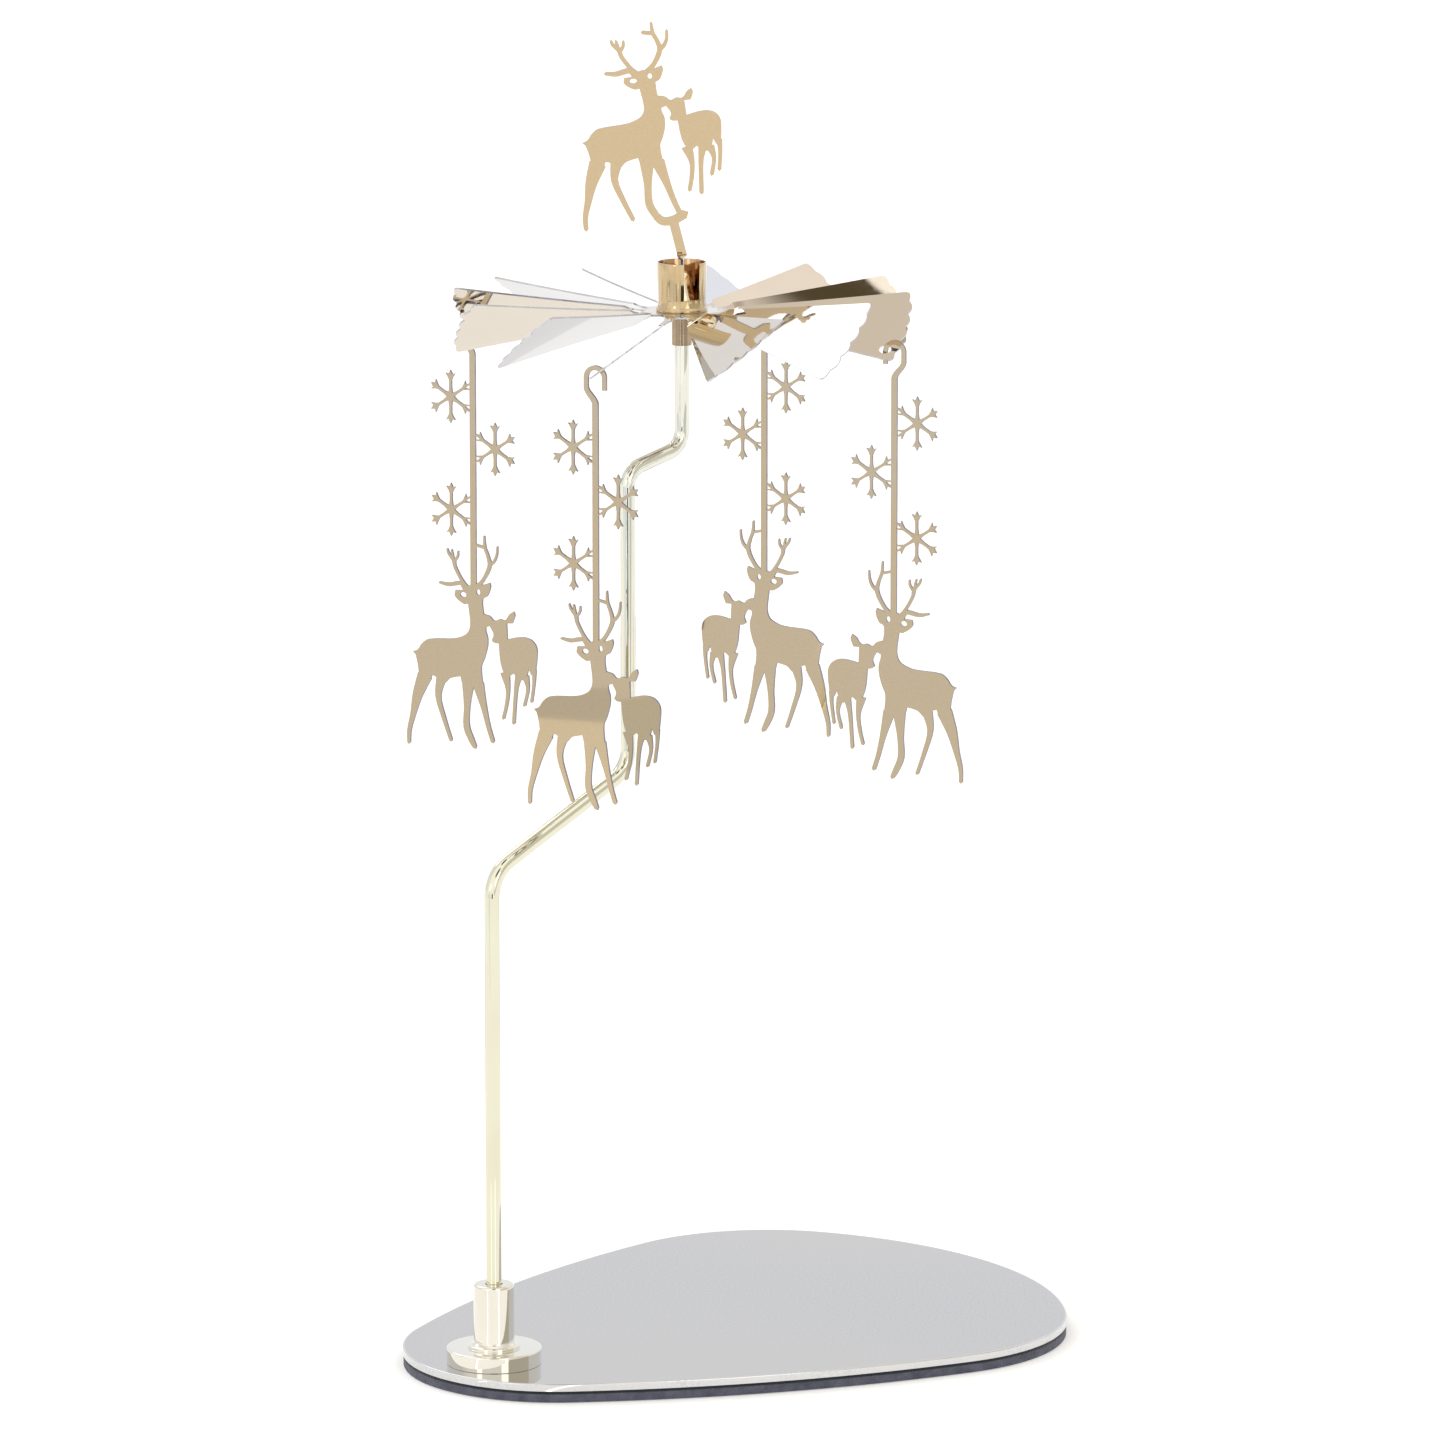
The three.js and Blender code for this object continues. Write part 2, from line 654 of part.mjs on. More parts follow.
const stemFootShares = [0.52, 0.755]; // where the hanging stem meets the stag's head
const groundBarShares = [[0.5, 0.04, 0.042], [0.54, 0.012, 0.04], [0.61, 0.01, 0.04], [0.67, 0.03, 0.038]];
const groundStemShares = [0.61, 0.01];

// The outline of a limb, from [x, y, width] points in millimetres, with a blunt pointed end.
function limbOutline(points) {
  const left = [];
  const right = [];
  points.forEach(([x, y, width], i) => {
    const [fromX, fromY] = points[Math.max(i - 1, 0)];
    const [toX, toY] = points[Math.min(i + 1, points.length - 1)];
    const along = new THREE.Vector2(toX - fromX, toY - fromY).normalize();
    const aside = new THREE.Vector2(-along.y, along.x).multiplyScalar(width / 2);
    const middle = new THREE.Vector2(x, y);
    left.push(middle.clone().add(aside));
    right.push(middle.clone().sub(aside));
    if (i === points.length - 1) left.push(middle.clone().addScaledVector(along, width / 2));
  });
  return [...left, ...right.reverse()].reverse();
}

// One sheet figure of the given size, X across and Y up, whose point at originShares goes to the place.
function figure(width, height, originShares, place, extraLimbShares = []) {
  const [originX, originY] = originShares;
  const scaled = ([x, y]) => new THREE.Vector2((x - originX) * width, (y - originY) * height);
  const placed = (geometry) => solidOf(geometry.applyMatrix4(place));
  const limb = (shares) => {
    const points = shares.map((share) => {
      const at = scaled(share);
      return [at.x, at.y, share[2] * width];
    });
    return placed(sheet(limbOutline(points), ornamentThickness));
  };
  const bodies = [stagBodyShares, doeBodyShares].map((shares) => {
    return placed(sheet(shares.map(scaled), ornamentThickness));
  });
  const limbs = [...legShares, ...antlerShares, ...extraLimbShares].map(limb);
  const holes = holeShares.map(({ at, across, up }) => {
    const hole = roundBar(1, -ornamentThickness, ornamentThickness, arcSteps);
    hole.scale(across * width, up * height, 1);
    const middle = scaled(at);
    hole.translate(middle.x, middle.y, 0);
    return placed(hole);
  });
  return cutBy(joined([...bodies, ...limbs]), holes);
}

// A six-armed snowflake whose arms end in three prongs, as shares of its radius.
function snowflake() {
  const notchShare = 0.2;
  const sideShares = [
    [0.58, 0.075],
    [0.86, 0.27],
    [0.82, 0.085],
  ];
  const outline = [];
  for (let arm = 0; arm < 6; arm++) {
    const turn = Math.PI / 2 + (arm * Math.PI) / 3;
    const put = (along, aside) => {
      const point = new THREE.Vector2(along, aside).multiplyScalar(snowflakeRadius);
      outline.push(point.rotateAround(new THREE.Vector2(), turn));
    };
    put(notchShare * Math.cos(Math.PI / 6), -notchShare * Math.sin(Math.PI / 6));
    sideShares.forEach(([along, aside]) => put(along, -aside));
    put(1, 0);
    [...sideShares].reverse().forEach(([along, aside]) => put(along, aside));
  }
  return sheet(outline, ornamentThickness);
}

// The hook, its jog and the stem below it, as one bent strip: X across, Y up, the hook's centre at the
// origin and its tail on the +X side.
function hangerStrip() {
  const points = [[hookRadius, -hookTail, hookBar]];
  for (let i = 0; i <= arcSteps; i++) {
    const angle = (Math.PI * i) / arcSteps;
    points.push([hookRadius * Math.cos(angle), hookRadius * Math.sin(angle), hookBar]);
  }
  for (let i = 0; i <= jogSteps; i++) {
    const share = i / jogSteps;
    const ease = (1 - Math.cos(Math.PI * share)) / 2;
    const width = THREE.MathUtils.lerp(hookBar, stemWidth, share);
    points.push([hookRadius * (ease - 1), -hookLeg - hookJog * share, width]);
  }
  points.push([0, -headDrop - stemWidth, stemWidth]);
  return solidOf(sheet(limbOutline(points), ornamentThickness));
}

function ornament() {
  const flakes = snowflakeDrops.map((drop, i) => {
    const flake = snowflake();
    flake.translate(i % 2 ? snowflakeOffset : -snowflakeOffset, -drop, 0);
    return solidOf(flake);
  });
  const place = new THREE.Matrix4().makeTranslation(0, -headDrop, 0);
  const deer = figure(figureWidth, figureHeight, stemFootShares, place);
  return tidied(joined([hangerStrip(), ...flakes, deer]), shortestEdge);
}

// Where a hook hangs: the strip of sheet left between the hook's hole and the edge that the hook goes over.
function hookStrip({ overRim }) {
  const rim = rimReach(-Math.asin(hookHoleOffset / bladeSpan));
  const inner = hookHoleRadius + (overRim ? hookHoleReach : hookHoleOffset);
  const outer = overRim ? Math.sqrt(rim ** 2 - hookHoleOffset ** 2) : halfChord(hookHoleReach);
  const middle = (inner + outer) / 2;
  const at = overRim ? [middle, -hookHoleOffset] : [hookHoleReach, -middle];
  return { at: new THREE.Vector3(at[0], at[1], 0), halfWidth: (outer - inner) / 2 };
}

// How far a hook's centre hangs below the strip's middle when its inner curve rests on the strip. Over a rim
// the hook's sheet also meets the round hole beside its middle, where the strip is wider.
function hookSag(carrier) {
  const pitch = radians(bladePitch);
  const { halfWidth } = hookStrip(carrier);
  const halfSheet = sheetThickness / 2;
  const rise = carrier.overRim
    ? halfSheet / Math.cos(pitch) + (ornamentThickness / 2) * Math.tan(pitch)
    : halfSheet * Math.cos(pitch) + halfWidth * Math.sin(pitch);
  const reach = carrier.overRim ? halfWidth + ornamentThickness / 2 : halfWidth * Math.cos(pitch);
  const inner = hookRadius - hookBar / 2 - seatGap;
  return Math.sqrt(inner ** 2 - reach ** 2) - rise;
}

// Stands the flat ornament up in its plane. A hook over a rim lies in an upright plane through the axis and
// a hook over a blade's side lies square to that, with the hook's leg outside the edge in both.
function ornamentStand(carrier, geometry) {
  const seat = hookStrip(carrier).at.applyMatrix4(bladePlace(carrier.blade));
  const outward = Math.atan2(seat.y, seat.x);
  const mesh = new THREE.Mesh(geometry.clone(), finish("satinGold"));
  mesh.name = carrier.name;
  mesh.rotation.x = Math.PI / 2;
  const stand = new THREE.Group();
  stand.add(mesh);
  stand.position.set(seat.x, seat.y, seat.z - hookSag(carrier));
  stand.rotation.z = outward + (carrier.overRim ? Math.PI : Math.PI / 2);
  return stand;
}

function topFigure() {
  const tabMiddle = cupRimRadius - cupWall / 2;
  const place = new THREE.Matrix4()
    .makeTranslation(topStemLean, tabMiddle, topFigureFoot)
    .multiply(new THREE.Matrix4().makeRotationX(Math.PI / 2))
    .multiply(new THREE.Matrix4().makeRotationZ(radians(topFigureLean)));
  const deer = figure(topFigureWidth, topFigureHeight, groundStemShares, place, [groundBarShares]);
  const twistFoot = cupTop + seatGap;
  const tabFoot = cupTop - cupSlitDepth + seatGap;
  const rings = [];
  const thick = ornamentThickness / 2;
  const addRing = (height, aside, width, turn) => {
    const half = width / 2;
    const ring = [
      [-half, -thick],
      [half, -thick],
      [half, thick],
      [-half, thick],
    ].map(([x, y]) => new THREE.Vector2(x, y).rotateAround(new THREE.Vector2(), turn));
    rings.push(ring.map((p) => new THREE.Vector3(aside + p.x, tabMiddle + p.y, height)));
  };
  addRing(tabFoot, 0, topTabWidth, Math.PI / 2);
  for (let step = 0; step <= twistSteps; step++) {
    const share = step / twistSteps;
    const turn = (Math.PI / 2) * (1 - share);
    addRing(twistFoot + topTwistLength * share, 0, topStemWidth, turn);
  }
  addRing(topFigureFoot, topStemLean, topStemWidth, 0);
  return tidied(deer.add(solidOf(lofted(rings))), shortestEdge);
}

// Finishes, from the photograph
const materials = {
  foam: { color: 0x2b2c30, roughness: 0.95, metalness: 0 },
  brushedPlate: { color: 0xcfcabd, roughness: 0.42, metalness: 0.9 },
  polishedRod: { color: 0xe9e2c8, roughness: 0.12, metalness: 1 },
  screwSteel: { color: 0x9b9da0, roughness: 0.35, metalness: 1 },
  brownBrass: { color: 0xa9794a, roughness: 0.25, metalness: 1 },
  cupBrass: { color: 0xd2b071, roughness: 0.2, metalness: 1 },
  fanMirror: { color: 0xdcc9a4, roughness: 0.08, metalness: 1 },
  satinGold: { color: 0xcbb595, roughness: 0.45, metalness: 0.85 },
};

function finish(name) {
  return new THREE.MeshStandardMaterial(materials[name]);
}

function piece(name, solid, finishName) {
  const mesh = new THREE.Mesh(geometryOf(solid), finish(finishName));
  mesh.name = name;
  return mesh;
}

const group = new THREE.Group();
group.name = "candle_carousel";

const stand = new THREE.Group();
stand.add(piece("foam_pad", foamPad(), "foam"));
stand.add(piece("base_plate", basePlate(), "brushedPlate"));
stand.add(piece("rod", rod(), "polishedRod"));
const turnings = new THREE.Group();
turnings.position.set(rodFoot.x, rodFoot.y, 0);
turnings.add(piece("rod_socket", rodSocket(), "polishedRod"));
turnings.add(piece("base_screw", baseScrew(), "screwSteel"));
stand.add(turnings);

const rotor = new THREE.Group();
rotor.add(piece("pivot_bearing", pivotBearing(), "brownBrass"));
rotor.add(piece("fan", fan(), "fanMirror"));
rotor.add(piece("hub_cup", hubCup(), "cupBrass"));
rotor.add(piece("lower_collar", lowerCollar(), "fanMirror"));
rotor.add(piece("top_figure", topFigure(), "satinGold"));
const hanger = geometryOf(ornament());
carriers.forEach((carrier) => rotor.add(ornamentStand(carrier, hanger)));

group.add(stand, rotor);

export default group;
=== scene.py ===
"""Dresses the candle carousel and sets up the white studio that it stands in.

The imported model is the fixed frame: each piece built here stands in the place of one of its nodes, and its
heights and centres are read from that node. Lengths are metres and angles are degrees. +X is to the right,
+Y away from the viewer and +Z up, and the rotor turns about Z.
"""

import json
import logging
import math
from dataclasses import dataclass, field
from enum import Enum
from typing import Sequence

import bmesh
import bpy
from mathutils import Matrix, Vector
from mathutils.geometry import delaunay_2d_cdt

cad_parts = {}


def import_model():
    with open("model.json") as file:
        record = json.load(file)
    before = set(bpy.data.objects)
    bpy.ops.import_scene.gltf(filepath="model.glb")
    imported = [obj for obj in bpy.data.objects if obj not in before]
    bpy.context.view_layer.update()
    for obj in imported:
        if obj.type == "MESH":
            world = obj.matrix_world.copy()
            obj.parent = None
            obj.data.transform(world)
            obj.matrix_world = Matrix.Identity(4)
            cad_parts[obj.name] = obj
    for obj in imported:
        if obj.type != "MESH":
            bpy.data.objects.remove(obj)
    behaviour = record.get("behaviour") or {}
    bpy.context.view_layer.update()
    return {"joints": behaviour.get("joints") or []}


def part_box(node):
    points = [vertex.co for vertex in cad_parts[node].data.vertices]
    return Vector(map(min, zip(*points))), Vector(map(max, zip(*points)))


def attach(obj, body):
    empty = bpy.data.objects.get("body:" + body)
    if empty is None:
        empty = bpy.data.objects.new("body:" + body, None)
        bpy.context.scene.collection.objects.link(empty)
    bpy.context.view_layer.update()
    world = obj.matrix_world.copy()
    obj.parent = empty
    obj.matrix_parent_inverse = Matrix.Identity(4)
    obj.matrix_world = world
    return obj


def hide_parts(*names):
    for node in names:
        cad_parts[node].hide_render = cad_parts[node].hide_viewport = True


SAME_POINT = 1e-7
SHARP_ANGLE = 30.0
FULL_TURN = 2 * math.pi
CLOUD_RANGE = (0.3, 0.7)
ROUND_REACH = 0.45
GUARD_SHARE = 0.12

Pair = tuple[float, float]
Triple = tuple[float, float, float]
Colour = tuple[float, float, float]
Socket = bpy.types.NodeSocket
Number = float | Socket
Material = bpy.types.Material
Thing = bpy.types.Object

log = logging.getLogger("carousel")


class Body(Enum):
    """The bodies that the pieces ride on, apart from the hangers, which have one each."""

    STAND = "stand"
    BEARING = "bearing"
    ROTOR = "rotor"


class HookOver(Enum):
    """What a hanger's hook goes over: a blade's scalloped rim or its lower side."""

    RIM = "rim"
    SIDE = "side"


class Nodes:
    """Adds and links the nodes of one tree."""

    def __init__(self, tree: bpy.types.NodeTree) -> None:
        """Takes the tree."""
        self.tree = tree

    def add(self, kind: str, settings: dict[str, object] | None = None, **sources: object) -> bpy.types.Node:
        """Adds a node.

        Args:
            kind: The node's type.
            settings: Its own options.
            sources: What its inputs get, by name with _ for a space: a socket, or a plain value.

        Returns:
            The node.
        """
        node = self.tree.nodes.new(kind)
        for name, value in (settings or {}).items():
            setattr(node, name, value)
        self.fill(node, **sources)
        return node

    def fill(self, node: bpy.types.Node, **sources: object) -> None:
        """Feeds a node's inputs, by name with _ for a space."""
        for name, source in sources.items():
            self.feed(node.inputs[name.replace("_", " ")], source)

    def feed(self, socket: Socket, source: object) -> None:
        """Links a socket to a source, or sets its plain value.

        Args:
            socket: The input.
            source: A socket or a plain value.
        """
        if isinstance(source, Socket):
            self.tree.links.new(source, socket)
        else:
            socket.default_value = source

    def climb(self, value: Socket, low: Number, high: Number, **settings: object) -> Socket:
        """Gives a share that rises from 0 to 1 while a value rises from low to high."""
        return self.add("ShaderNodeMapRange", settings, Value=value, From_Min=low, From_Max=high).outputs["Result"]

    def tint(self, share: Socket, first: Socket | Colour, second: Colour) -> Socket:
        """Mixes a patterned or plain colour with a plain one.

        Args:
            share: 0 gives the first colour, 1 the second.
            first: The patterned or plain colour.
            second: The plain colour.

        Returns:
            The mixed colour's socket.
        """
        mix = self.add("ShaderNodeMix", {"data_type": "RGBA"})
        self.feed(mix.inputs[0], share)
        self.feed(mix.inputs[6], first if isinstance(first, Socket) else (*first, 1))
        self.feed(mix.inputs[7], (*second, 1))
        return mix.outputs[2]


class NodeBench(Nodes):
    """Lays out the shader nodes of one material round its Principled shader."""

    def __init__(self, name: str, **constants: object) -> None:
        """Makes the material and sets constant values on the shader's own sockets.

        Args:
            name: The material's name.
            constants: The values by socket name, with _ for a space.
        """
        self.material = bpy.data.materials.new(name)
        self.material.use_nodes = True
        super().__init__(self.material.node_tree)
        self.shader = self.tree.nodes["Principled BSDF"]
        self.place = self.add("ShaderNodeTexCoord").outputs["Object"]
        self.fill(self.shader, **constants)

    def shade(self, **patterns: Socket) -> Material:
        """Links patterns to the shader's sockets and returns the finished material."""
        self.fill(self.shader, **patterns)
        return self.material

    def stretched(self, across: float, along: float) -> Socket:
        """Stretches object coordinates along Z.

        Args:
            across: Repeats per metre across Z.
            along: Repeats per metre along Z.

        Returns:
            The coordinates' socket.
        """
        scale = [1 / across, 1 / across, 1 / along]
        mapping = self.add("ShaderNodeMapping", {"vector_type": "TEXTURE"}, Vector=self.place, Scale=scale)
        return mapping.outputs["Vector"]

    def noise(self, scale: float, detail: float, place: Socket | None = None) -> Socket:
        """Makes a cloudy pattern with so many patches per metre, or per unit of the place, and finer layers."""
        return self.add("ShaderNodeTexNoise", Vector=place or self.place, Scale=scale, Detail=detail).outputs["Fac"]

    def cells(self, scale: float) -> Socket:
        """Gives the distance to the nearest of scattered points, at the given number per metre."""
        return self.add("ShaderNodeTexVoronoi", Vector=self.place, Scale=scale).outputs["Distance"]

    def rise(self, low: float, high: float) -> Socket:
        """Gives a share that rises from 0 to 1 between two heights."""
        return self.climb(self.add("ShaderNodeSeparateXYZ", Vector=self.place).outputs["Z"], low, high)

    def spread(self, value: Socket, low: float = 0.0, high: float = 1.0) -> Socket:
        """Maps a cloudy pattern's usual range to another range.

        Args:
            value: The pattern's socket.
            low: The result at its darkest.
            high: The result at its lightest.

        Returns:
            The result's socket.
        """
        dark, light = CLOUD_RANGE
        span = self.add("ShaderNodeMapRange", Value=value, From_Min=dark, From_Max=light, To_Min=low, To_Max=high)
        return span.outputs["Result"]

    def relief(self, height: Socket, depth: float) -> Socket:
        """Turns a pattern into a bumped normal, with so many metres between its lowest and highest value."""
        return self.add("ShaderNodeBump", Height=height, Distance=depth).outputs["Normal"]


@dataclass(frozen=True)
class Finish:
    """What every finish has: a colour, a second one that it shades into, and a roughness that varies."""

    name: str
    colour: Colour
    deep_colour: Colour
    roughness: float = 0.05
    wear: Pair = (0.7, 1.4)

    def shaded(self, bench: NodeBench, pattern: Socket) -> Socket:
        """Shades the colour into the second one over a pattern."""
        return bench.tint(bench.spread(pattern), self.colour, self.deep_colour)

    def worn(self, bench: NodeBench, pattern: Socket) -> Socket:
        """Varies the roughness over a pattern, between two shares of it."""
        return bench.spread(pattern, self.roughness * self.wear[0], self.roughness * self.wear[1])


@dataclass(frozen=True)
class BrightPlating(Finish):
    """Mirror plating under a clear lacquer: whiter at grazing angles, with a slight waviness and fine wear, and where a
    second colour is given, a painted reflection that tints it above a height.
    """

    wear: Pair = (0.6, 1.5)
    lacquer: float = 1.0
    lacquer_roughness: float = 0.02
    lacquer_index: float = 1.7
    wave_size: float = 0.018
    wave_depth: float = 0.00006
    scuff_size: float = 0.0012
    brush_pitch: float | None = None
    brush_stretch: float = 16.0
    painted_reflection_colour: Colour | None = None
    painted_reflection_from: float = 0.12
    painted_reflection_to: float = 0.26

    def material(self) -> Material:
        """Builds the finish.

        Returns:
            The material.
        """
        coat = {"Coat_Weight": self.lacquer, "Coat_Roughness": self.lacquer_roughness, "Coat_IOR": self.lacquer_index}
        bench = NodeBench(self.name, Metallic=1.0, **coat)
        if self.brush_pitch:
            pitch = 1 / self.brush_pitch
            waves = bench.noise(1.0, detail=1.0, place=bench.stretched(pitch, pitch / self.brush_stretch))
        else:
            waves = bench.noise(1 / self.wave_size, detail=1.0)
        colour = self.shaded(bench, waves)
        # Painted reflection: above a height the colour turns toward a second, more neutral tint.
        if self.painted_reflection_colour:
            colour = bench.tint(bench.rise(self.painted_reflection_from, self.painted_reflection_to), colour, self.painted_reflection_colour)
        rough = self.worn(bench, bench.noise(1 / self.scuff_size, detail=4.0))
        return bench.shade(Base_Color=colour, Roughness=rough, Normal=bench.relief(waves, self.wave_depth))


@dataclass(frozen=True)
class SatinSheet(Finish):
    """Etched sheet with a half-bright gold face and the fine even grain of rolled metal."""

    roughness: float = 0.032
    grain_size: float = 0.0004
    cloud_size: float = 0.02

    def material(self) -> Material:
        """Builds the finish.

        Returns:
            The material.
        """
        bench = NodeBench(self.name, Metallic=1.0, Coat_Weight=0.2, Coat_Roughness=0.05, Coat_IOR=1.5)
        grain = bench.noise(1 / self.grain_size, detail=3.0)
        clouds = bench.noise(1 / self.cloud_size, detail=2.0)
        return bench.shade(Base_Color=self.shaded(bench, grain), Roughness=self.worn(bench, clouds))


@dataclass(frozen=True)
class PolishedSteel(Finish):
    """A mirror-bright sheet with a fine even grain, a little warmer in places."""

    grain_size: float = 0.0007
    grain_depth: float = 0.82
    cast_size: float = 0.12

    def material(self) -> Material:
        """Builds the finish.

        Returns:
            The material.
        """
        bench = NodeBench(self.name, Metallic=1.0)
        grain = bench.noise(1 / self.grain_size, detail=3.0)
        cast = bench.noise(1 / self.cast_size, detail=0.0)
        dim = tuple(self.grain_depth * part for part in self.colour)
        first = bench.tint(bench.spread(grain), self.colour, dim)
        colour = bench.tint(bench.spread(cast), first, self.deep_colour)
        return bench.shade(Base_Color=colour, Roughness=self.worn(bench, grain))


@dataclass(frozen=True)
class FoamRubber(Finish):
    """Dark foam rubber: dull, with a fine light speckle, and a band of painted shade along its top edge just below the
    plate.
    """

    roughness: float = 0.92
    cell_size: float = 0.00055
    speckle_size: float = 6 * 0.00055
    painted_shade_colour: Colour = (0.016, 0.021, 0.023)
    painted_shade_from: float = 0.002
    painted_shade_to: float = 0.0023

    def material(self) -> Material:
        """Builds the finish.

        Returns:
            The material.
        """
        bench = NodeBench(self.name, Roughness=self.roughness, Specular_IOR_Level=0.25, Sheen_Weight=0.15)
        foam = self.shaded(bench, bench.noise(1 / self.speckle_size, detail=3.0))
        # Painted shade: near the top of the edge, under the plate's lip, the colour turns near-black.
        colour = bench.tint(bench.rise(self.painted_shade_from, self.painted_shade_to), foam, self.painted_shade_colour)
        return bench.shade(Base_Color=colour, Normal=bench.relief(bench.cells(1 / self.cell_size), self.cell_size / 2))


@dataclass(frozen=True)
class TurnedMetal(Finish):
    """Plain turned metal with the fine rings of the lathe tool along its length."""

    wear: Pair = (0.8, 1.3)
    ring_pitch: float = 0.0003
    ring_depth: float = 0.02 * 0.0003
    streaks: float = 60.0
    clouds: float = 260.0

    def material(self) -> Material:
        """Builds the finish.

        Returns:
            The material.
        """
        bench = NodeBench(self.name, Metallic=1.0)
        rings = bench.noise(1.0, detail=1.0, place=bench.stretched(self.streaks, 1 / self.ring_pitch))
        clouds = bench.noise(self.clouds, detail=3.0)
        colour, rough = self.shaded(bench, clouds), self.worn(bench, clouds)
        return bench.shade(Base_Color=colour, Roughness=rough, Normal=bench.relief(rings, self.ring_depth))


class Finishes:
    """The finishes of this carousel, each built once."""

    def __init__(self) -> None:
        """Builds the materials."""
        self.foam = FoamRubber("foam_rubber", (0.066, 0.07, 0.098), (0.115, 0.12, 0.158)).material()
        self.plate = PolishedSteel("plate_mirror", (0.572, 0.568, 0.565), (0.545, 0.53, 0.512)).material()
        # The plate's rounded edge is a paler, bluer copy of the plate's steel: a painted highlight.
        edge_highlight_steel = PolishedSteel("plate_edge", (0.7, 0.71, 0.72), (0.66, 0.66, 0.66), cast_size=0.01)
        self.plate_edge = edge_highlight_steel.material()
        still = {"lacquer": 0.6, "wave_depth": 0.00001}
        # The rod's upper part carries a painted reflection: a more neutral, slightly greener tint.
        self.rod = BrightPlating(
            "rod_plating", (0.75, 0.74, 0.58), (0.72, 0.70, 0.53), 0.02, painted_reflection_colour=(0.735, 0.745, 0.67), **still
        ).material()
        self.socket = BrightPlating("socket_plating", (0.79, 0.765, 0.68), (0.76, 0.73, 0.63), 0.03, **still).material()
        self.screw = TurnedMetal("screw_zinc", (0.55, 0.56, 0.58), (0.42, 0.43, 0.46), 0.32).material()
        self.bearing = TurnedMetal("bearing_brass", (0.42, 0.32, 0.22), (0.34, 0.245, 0.16), 0.14).material()
        # The bell's colour is paler than brass: painted light standing in for the light that reaches it inside the cup.
        self.bell = BrightPlating(
            "bell_brass", (0.95, 0.88, 0.68), (0.9, 0.8, 0.56), 0.08, lacquer=0.4, wave_size=0.002
        ).material()
        self.fan = BrightPlating(
            "fan_mirror", (0.65, 0.597, 0.515), (0.625, 0.572, 0.49), 0.03, lacquer=0.6, lacquer_index=1.8
        ).material()
        brushed = {"lacquer_index": 1.5, "wave_depth": 0.00001, "brush_pitch": 0.0007}
        self.cup = BrightPlating("cup_brass", (0.58, 0.445, 0.25), (0.51, 0.37, 0.18), 0.06, **brushed).material()
        # The cup's inside is a darker, more orange copy of its brass: painted shade.
        self.cup_inside = BrightPlating(
            "cup_inside", (0.52, 0.33, 0.17), (0.44, 0.26, 0.12), 0.08, lacquer=0.5, wave_size=0.003
        ).material()
        self.satin = SatinSheet("satin_gold", (0.575, 0.452, 0.288), (0.54, 0.42, 0.26)).material()
        self.cut_edge = TurnedMetal("cut_edge", (0.22, 0.21, 0.26), (0.16, 0.155, 0.2), 0.3).material()
        self.fan_edge = TurnedMetal("fan_edge", (0.6, 0.6, 0.63), (0.5, 0.5, 0.53), 0.25).material()


@dataclass
class Shell:
    """A surface in the making: its points, its faces and the number of each face's finish."""

    points: list[Vector] = field(default_factory=list)
    faces: list[tuple[int, ...]] = field(default_factory=list)
    finishes: list[int] = field(default_factory=list)

    def add_point(self, x: float, y: float, z: float) -> int:
        """Adds a point and returns its number."""
        self.points.append(Vector((x, y, z)))
        return len(self.points) - 1

    def add_row(self, points: Sequence[Vector], height: float) -> list[int]:
        """Adds flat points at a height and returns their numbers."""
        return [self.add_point(p.x, p.y, height) for p in points]

    def add_face(self, *corners: int, finish: int = 0) -> None:
        """Adds a face, without the corners that are the same as their neighbour.

        Args:
            corners: The numbers of its points, anticlockwise as seen from outside.
            finish: Its finish number.
        """
        kept = [c for i, c in enumerate(corners) if c != corners[i - 1]]
        if len(kept) > 2:
            self.faces.append(tuple(kept))
            self.finishes.append(finish)

    def placed(self, place: Matrix) -> "Shell":
        """Moves every point by a matrix and returns the shell itself."""
        self.points = [place @ point for point in self.points]
        return self

    def joined(self, other: "Shell") -> "Shell":
        """Adds another shell's surface.

        Args:
            other: The other shell.

        Returns:
            The shell itself.
        """
        start = len(self.points)
        self.points += other.points
        self.faces += [tuple(start + corner for corner in face) for face in other.faces]
        self.finishes += other.finishes
        return self

    def add_band(self, low: Sequence[int], high: Sequence[int], finish: int = 0) -> None:
        """Adds the faces between two closed anticlockwise rows of points.

        Args:
            low: The lower row's point numbers.
            high: The upper row's, as many.
            finish: The faces' finish number.
        """
        for i in range(len(low)):
            after = (i + 1) % len(low)
            self.add_face(low[i], low[after], high[after], high[i], finish=finish)

    def piece(self, name: str, *materials: Material) -> Thing:
        """Makes the Blender object.

        Args:
            name: The piece's name.
            materials: Its finishes, in the order of the faces' finish numbers.

        Returns:
            The object.
        """
        mesh = bpy.data.meshes.new(name)
        mesh.from_pydata(self.points, [], self.faces)
        for material in materials:
            mesh.materials.append(material)
        mesh.polygons.foreach_set("material_index", self.finishes)
        return linked(name, smoothed(mesh))

    def install(self, name: str, body: Body, node: str, slot: str, *materials: Material) -> None:
        """Makes a piece of the surface that rides on a body in place of a node, with its doubled points joined."""
        settle(merged(self.piece(name, *materials)), body.value, node)


def smoothed(mesh: bpy.types.Mesh, sharp: float = SHARP_ANGLE) -> bpy.types.Mesh:
    """Smooths a mesh.

    Args:
        mesh: The mesh.
        sharp: Edges turned by more than so many degrees stay sharp.

    Returns:
        The same mesh.
    """
    mesh.shade_smooth()
    mesh.set_sharp_from_angle(angle=math.radians(sharp))
    return mesh


def linked(name: str, data: bpy.types.ID) -> Thing:
    """Puts a new object into the scene.

    Args:
        name: The object's name.
        data: Its mesh or camera.

    Returns:
        The object.
    """
    thing = bpy.data.objects.new(name, data)
    bpy.context.scene.collection.objects.link(thing)
    return thing


